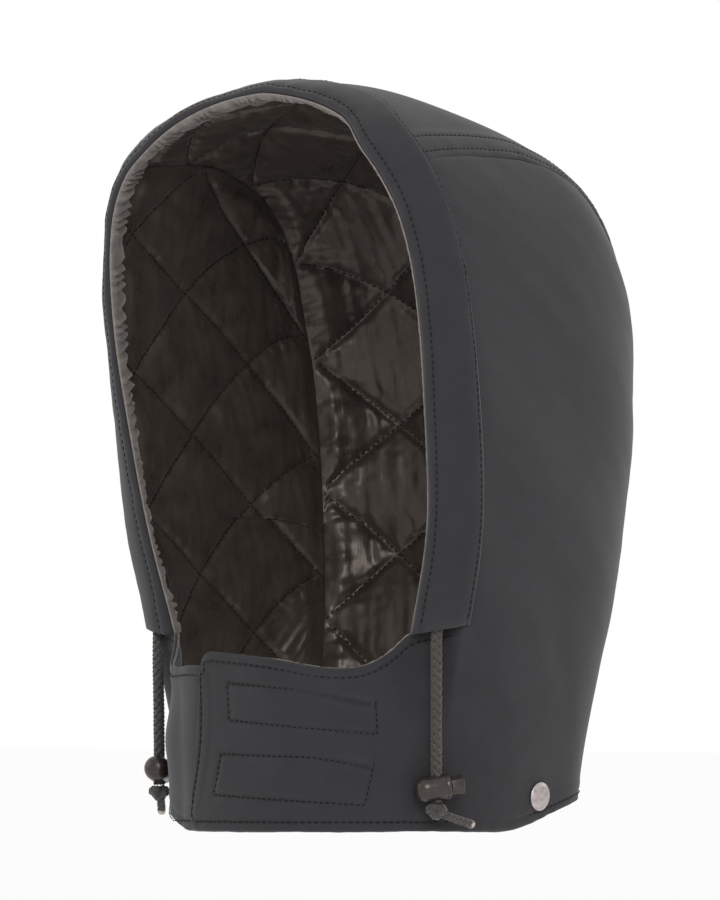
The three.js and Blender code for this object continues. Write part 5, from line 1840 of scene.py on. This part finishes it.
skin = {key: np.array([row[key] for row in GATHER_SKIN])[None, :] for key in GATHER_SKIN[0]}
share = np.linspace(-1, 1, GATHER_STEPS + 1)[:, None]
share, across = np.broadcast_arrays(share, skin["across"])
line = casing_point(share[:, 0], 0 * share[:, 0] + GATHER_MIDDLE, 0 * share[:, 0])[0]
run = run_lengths(line[:, None], 0)
half = half_thickness_at(line[:, 2])[:, None]
wander = 0.9 * undulation(run, 0 * run, 0.030, 111)
turn = 2 * math.pi * (run / PLEAT + wander + 0.16 * undulation(run, across, 0.012, 112))
fold = 0.75 + 0.35 * undulation(run, across * CASING_WIDTH, 0.011, 113)
fold = (0.5 + 0.5 * np.sin(turn)) ** 0.8 * fold
level = half * skin["drop"] + LINING_GAP + skin["over"]
outer = casing_point(share, across, -level)[0]
depth = level + GATHER_THICKNESS + PLEAT_DEPTH * fold * skin["pleats"]
inner = casing_point(share, across, -depth)[0]
band_run = run_lengths(outer, 1)
gathered_surface = gathered_material()
gathered = cloth_piece("gathered_strip", outer, inner, (band_run, run + 0 * across),
                       gathered_surface, "lining_gathered", rim_rings=2, rim_bulge=0.3)
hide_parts("lining_edge")

# Collar binding: the raw upper edge of each front is turned with a narrow tape of the gathered
# satin, caught in the same seam, whose frayed edge stands a little over the duck.
BINDING_HEIGHT = 0.0021
BINDING_THICKNESS = 0.0006
BINDING_PROUD = 0.0006
BINDING_SIDES = 8
BINDING_STEPS = 300
BINDING_TAPER = 60
binding = Parts()
for flap, mirror, reach in ((True, 1, 0.88), (False, -1, 0.50)):
    around = np.linspace(0.0, reach, BINDING_STEPS)
    edge, edge_out = front_surface(around, np.ones_like(around), flap)
    run = run_lengths(edge[:, None], 0)[:, 0]
    fray = 1 + 0.30 * undulation(run, 0 * run, 0.0024, 121)
    fray = fray + 0.16 * undulation(run, 0 * run, 0.008, 122)
    place = np.arange(BINDING_STEPS)
    taper = eased(np.minimum(place, place[::-1]) / BINDING_TAPER)
    tall = BINDING_HEIGHT / 2 * mix(0.3, 1, taper)
    along = np.gradient(edge, axis=0)
    up = unit(np.cross(along, edge_out))
    up = np.where(up[:, 2:] < 0, -up, up)
    proud = BINDING_PROUD * fray * mix(-1, 1, taper)
    heart = edge - edge_out * (SHELL_THICKNESS + BINDING_THICKNESS)
    heart = heart + up * (proud - BINDING_HEIGHT / 2)[:, None]
    turn = np.linspace(0, 2 * math.pi, BINDING_SIDES, endpoint=False)
    ring = heart[:, None] + up[:, None] * (tall[:, None] * np.sin(turn))[..., None]
    ring = ring + edge_out[:, None] * (BINDING_THICKNESS / 2 * np.cos(turn))[None, :, None]
    binding.add_tube(in_frame(ring * (mirror, 1, 1)), run, BINDING_HEIGHT)
binding.piece("collar_edge_tape", gathered_surface, "lining_gathered")

# Snaps: pressed pewter fasteners that hold the hood on its jacket, a domed cap outside and a ring
# socket inside each lower side, riveted through the shell and the lining.
SNAP_GAP = 0.00035
CAP_RADIUS = 0.0072
CAP_HEIGHT = 0.0028
CAP_FLAT = 0.003
CAP_RIM = 0.0007
SOCKET_RADIUS = 0.0055
SOCKET_HEIGHT = 0.002
SOCKET_FLOOR = 0.0008
SNAP_SIDES = 72


def snap_material():
    material, tree, shader = new_material("pewter")
    rub = noise(tree, geometry(tree, "Position"), 420, 5)
    rubbed = ranged(tree, rub, 0.3, 0.7, 0, 1)
    feed(tree, shader, "Base Color", mixed(tree, rubbed, (0.29, 0.255, 0.25, 1), (0.45, 0.40, 0.39, 1)))
    preset(shader, {"Metallic": 1.0})
    feed(tree, shader, "Roughness", ranged(tree, rub, 0.3, 0.7, 0.30, 0.46))
    bumped(tree, shader, rub, 0.12, 0.0001)
    return material


def cap_outline():
    """From the back of the cap over its rolled rim to its domed middle."""
    rim = CAP_RADIUS - CAP_RIM
    rows = [(AXIS_RADIUS, 0, 0)]
    rows += [(CAP_RADIUS * share, 0, 0) for share in (0.35, 0.62, 0.82)]
    rows += arc((rim, CAP_RIM), CAP_RIM, -90, 75, 9)
    for share in (0.12, 0.28, 0.46, 0.64, 0.82, 0.96):
        rise = math.sin(share * math.pi / 2) ** 0.9
        rows.append((mix(rim, CAP_FLAT * 1.25, share), mix(2 * CAP_RIM, CAP_HEIGHT * 0.93, rise), 0))
    rows += [(CAP_FLAT, CAP_HEIGHT * 0.985, 0), (CAP_FLAT * 0.6, CAP_HEIGHT, 0)]
    return rows + [(AXIS_RADIUS, CAP_HEIGHT, 0)]


def socket_outline():
    """A flanged ring with a raised rim round a hollow with a small stud hole."""
    steps = [
        (0.5, 0), (0.94, 0), (1, 0.0002), (1, 0.0005), (0.95, 0.0008), (0.78, 0.0010), (0.70, 0.0016),
        (0.64, SOCKET_HEIGHT), (0.54, SOCKET_HEIGHT), (0.48, 0.0016), (0.46, 0.0009), (0.30, 0.0008),
    ]
    rows = [(SOCKET_RADIUS * share, height, 0) for share, height in steps]
    return [(AXIS_RADIUS, 0, 0), *rows, (AXIS_RADIUS, SOCKET_FLOOR, 0)]


snap_surface = snap_material()
seat = np.array([half_width_at(*SNAP_PLACE), *SNAP_PLACE])
seat_out = outward_at(seat[None, :])[0]
lining_depth = SHELL_THICKNESS + LINING_GAP + LINING_FLAT
for side, mirror in (("left", 1), ("right", -1)):
    for name, outline, depth, way in (
        ("cap", cap_outline(), SNAP_GAP, 1),
        ("socket", socket_outline(), -lining_depth - SNAP_GAP, -1),
    ):
        place = in_frame(((seat + seat_out * depth) * (mirror, 1, 1))[None, :])[0]
        facing = seat_out * (mirror, 1, 1) * way
        ring = aimed(turned_solid(outline, SNAP_SIDES), place, facing)
        parts = Parts()
        parts.add_tube(ring, np.linspace(0, 0.02, len(outline)), 0.04)
        fastener = parts.piece(f"snap_{name}_pewter_{side}", snap_surface, "snap_metal")
        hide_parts(f"snap_{name}_{side}")

# Studio: a plain pale floor well below the hood, soft light all round, and three square lights,
# the brightest of them from the wearer's left front.
FLOOR_DROP = 0.25
FLOOR_SIZE = 60.0
floor_mesh = bpy.data.meshes.new("floor")
half = FLOOR_SIZE / 2
floor_corners = [(-half, -half, 0), (half, -half, 0), (half, half, 0), (-half, half, 0)]
floor_mesh.from_pydata(floor_corners, [], [(0, 1, 2, 3)])
floor = bpy.data.objects.new("floor", floor_mesh)
floor.location.z = hem_level - FLOOR_DROP
bpy.context.scene.collection.objects.link(floor)
floor_surface, tree, shader = new_material("studio_floor")
preset(shader, {"Base Color": (0.97, 0.97, 0.97, 1), "Roughness": 0.9})
floor_mesh.materials.append(floor_surface)


def soft_light(name, place, size, power):
    data = bpy.data.lights.new(name, "AREA")
    data.shape = "SQUARE"
    data.size = size
    data.energy = power
    light = bpy.data.objects.new(name, data)
    bpy.context.scene.collection.objects.link(light)
    light.location = place
    light.rotation_mode = "QUATERNION"
    aim = Vector((0, 0, hem_level / 2)) - Vector(place)
    light.rotation_quaternion = aim.to_track_quat("-Z", "Y")


soft_light("key_light", (2.0, -2.1, 1.1), 1.4, 50)
soft_light("fill_light", (-1.9, -1.5, 0.8), 1.6, 9)
soft_light("back_light", (0.6, 2.2, 1.2), 1.6, 9)

world = bpy.data.worlds.new("studio")
world.use_nodes = True
background = world.node_tree.nodes["Background"]
preset(background, {"Color": (1, 1, 1, 1), "Strength": 1.0})
bpy.context.scene.world = world
bpy.context.scene.view_settings.view_transform = "Standard"
bpy.context.scene.view_settings.look = "None"
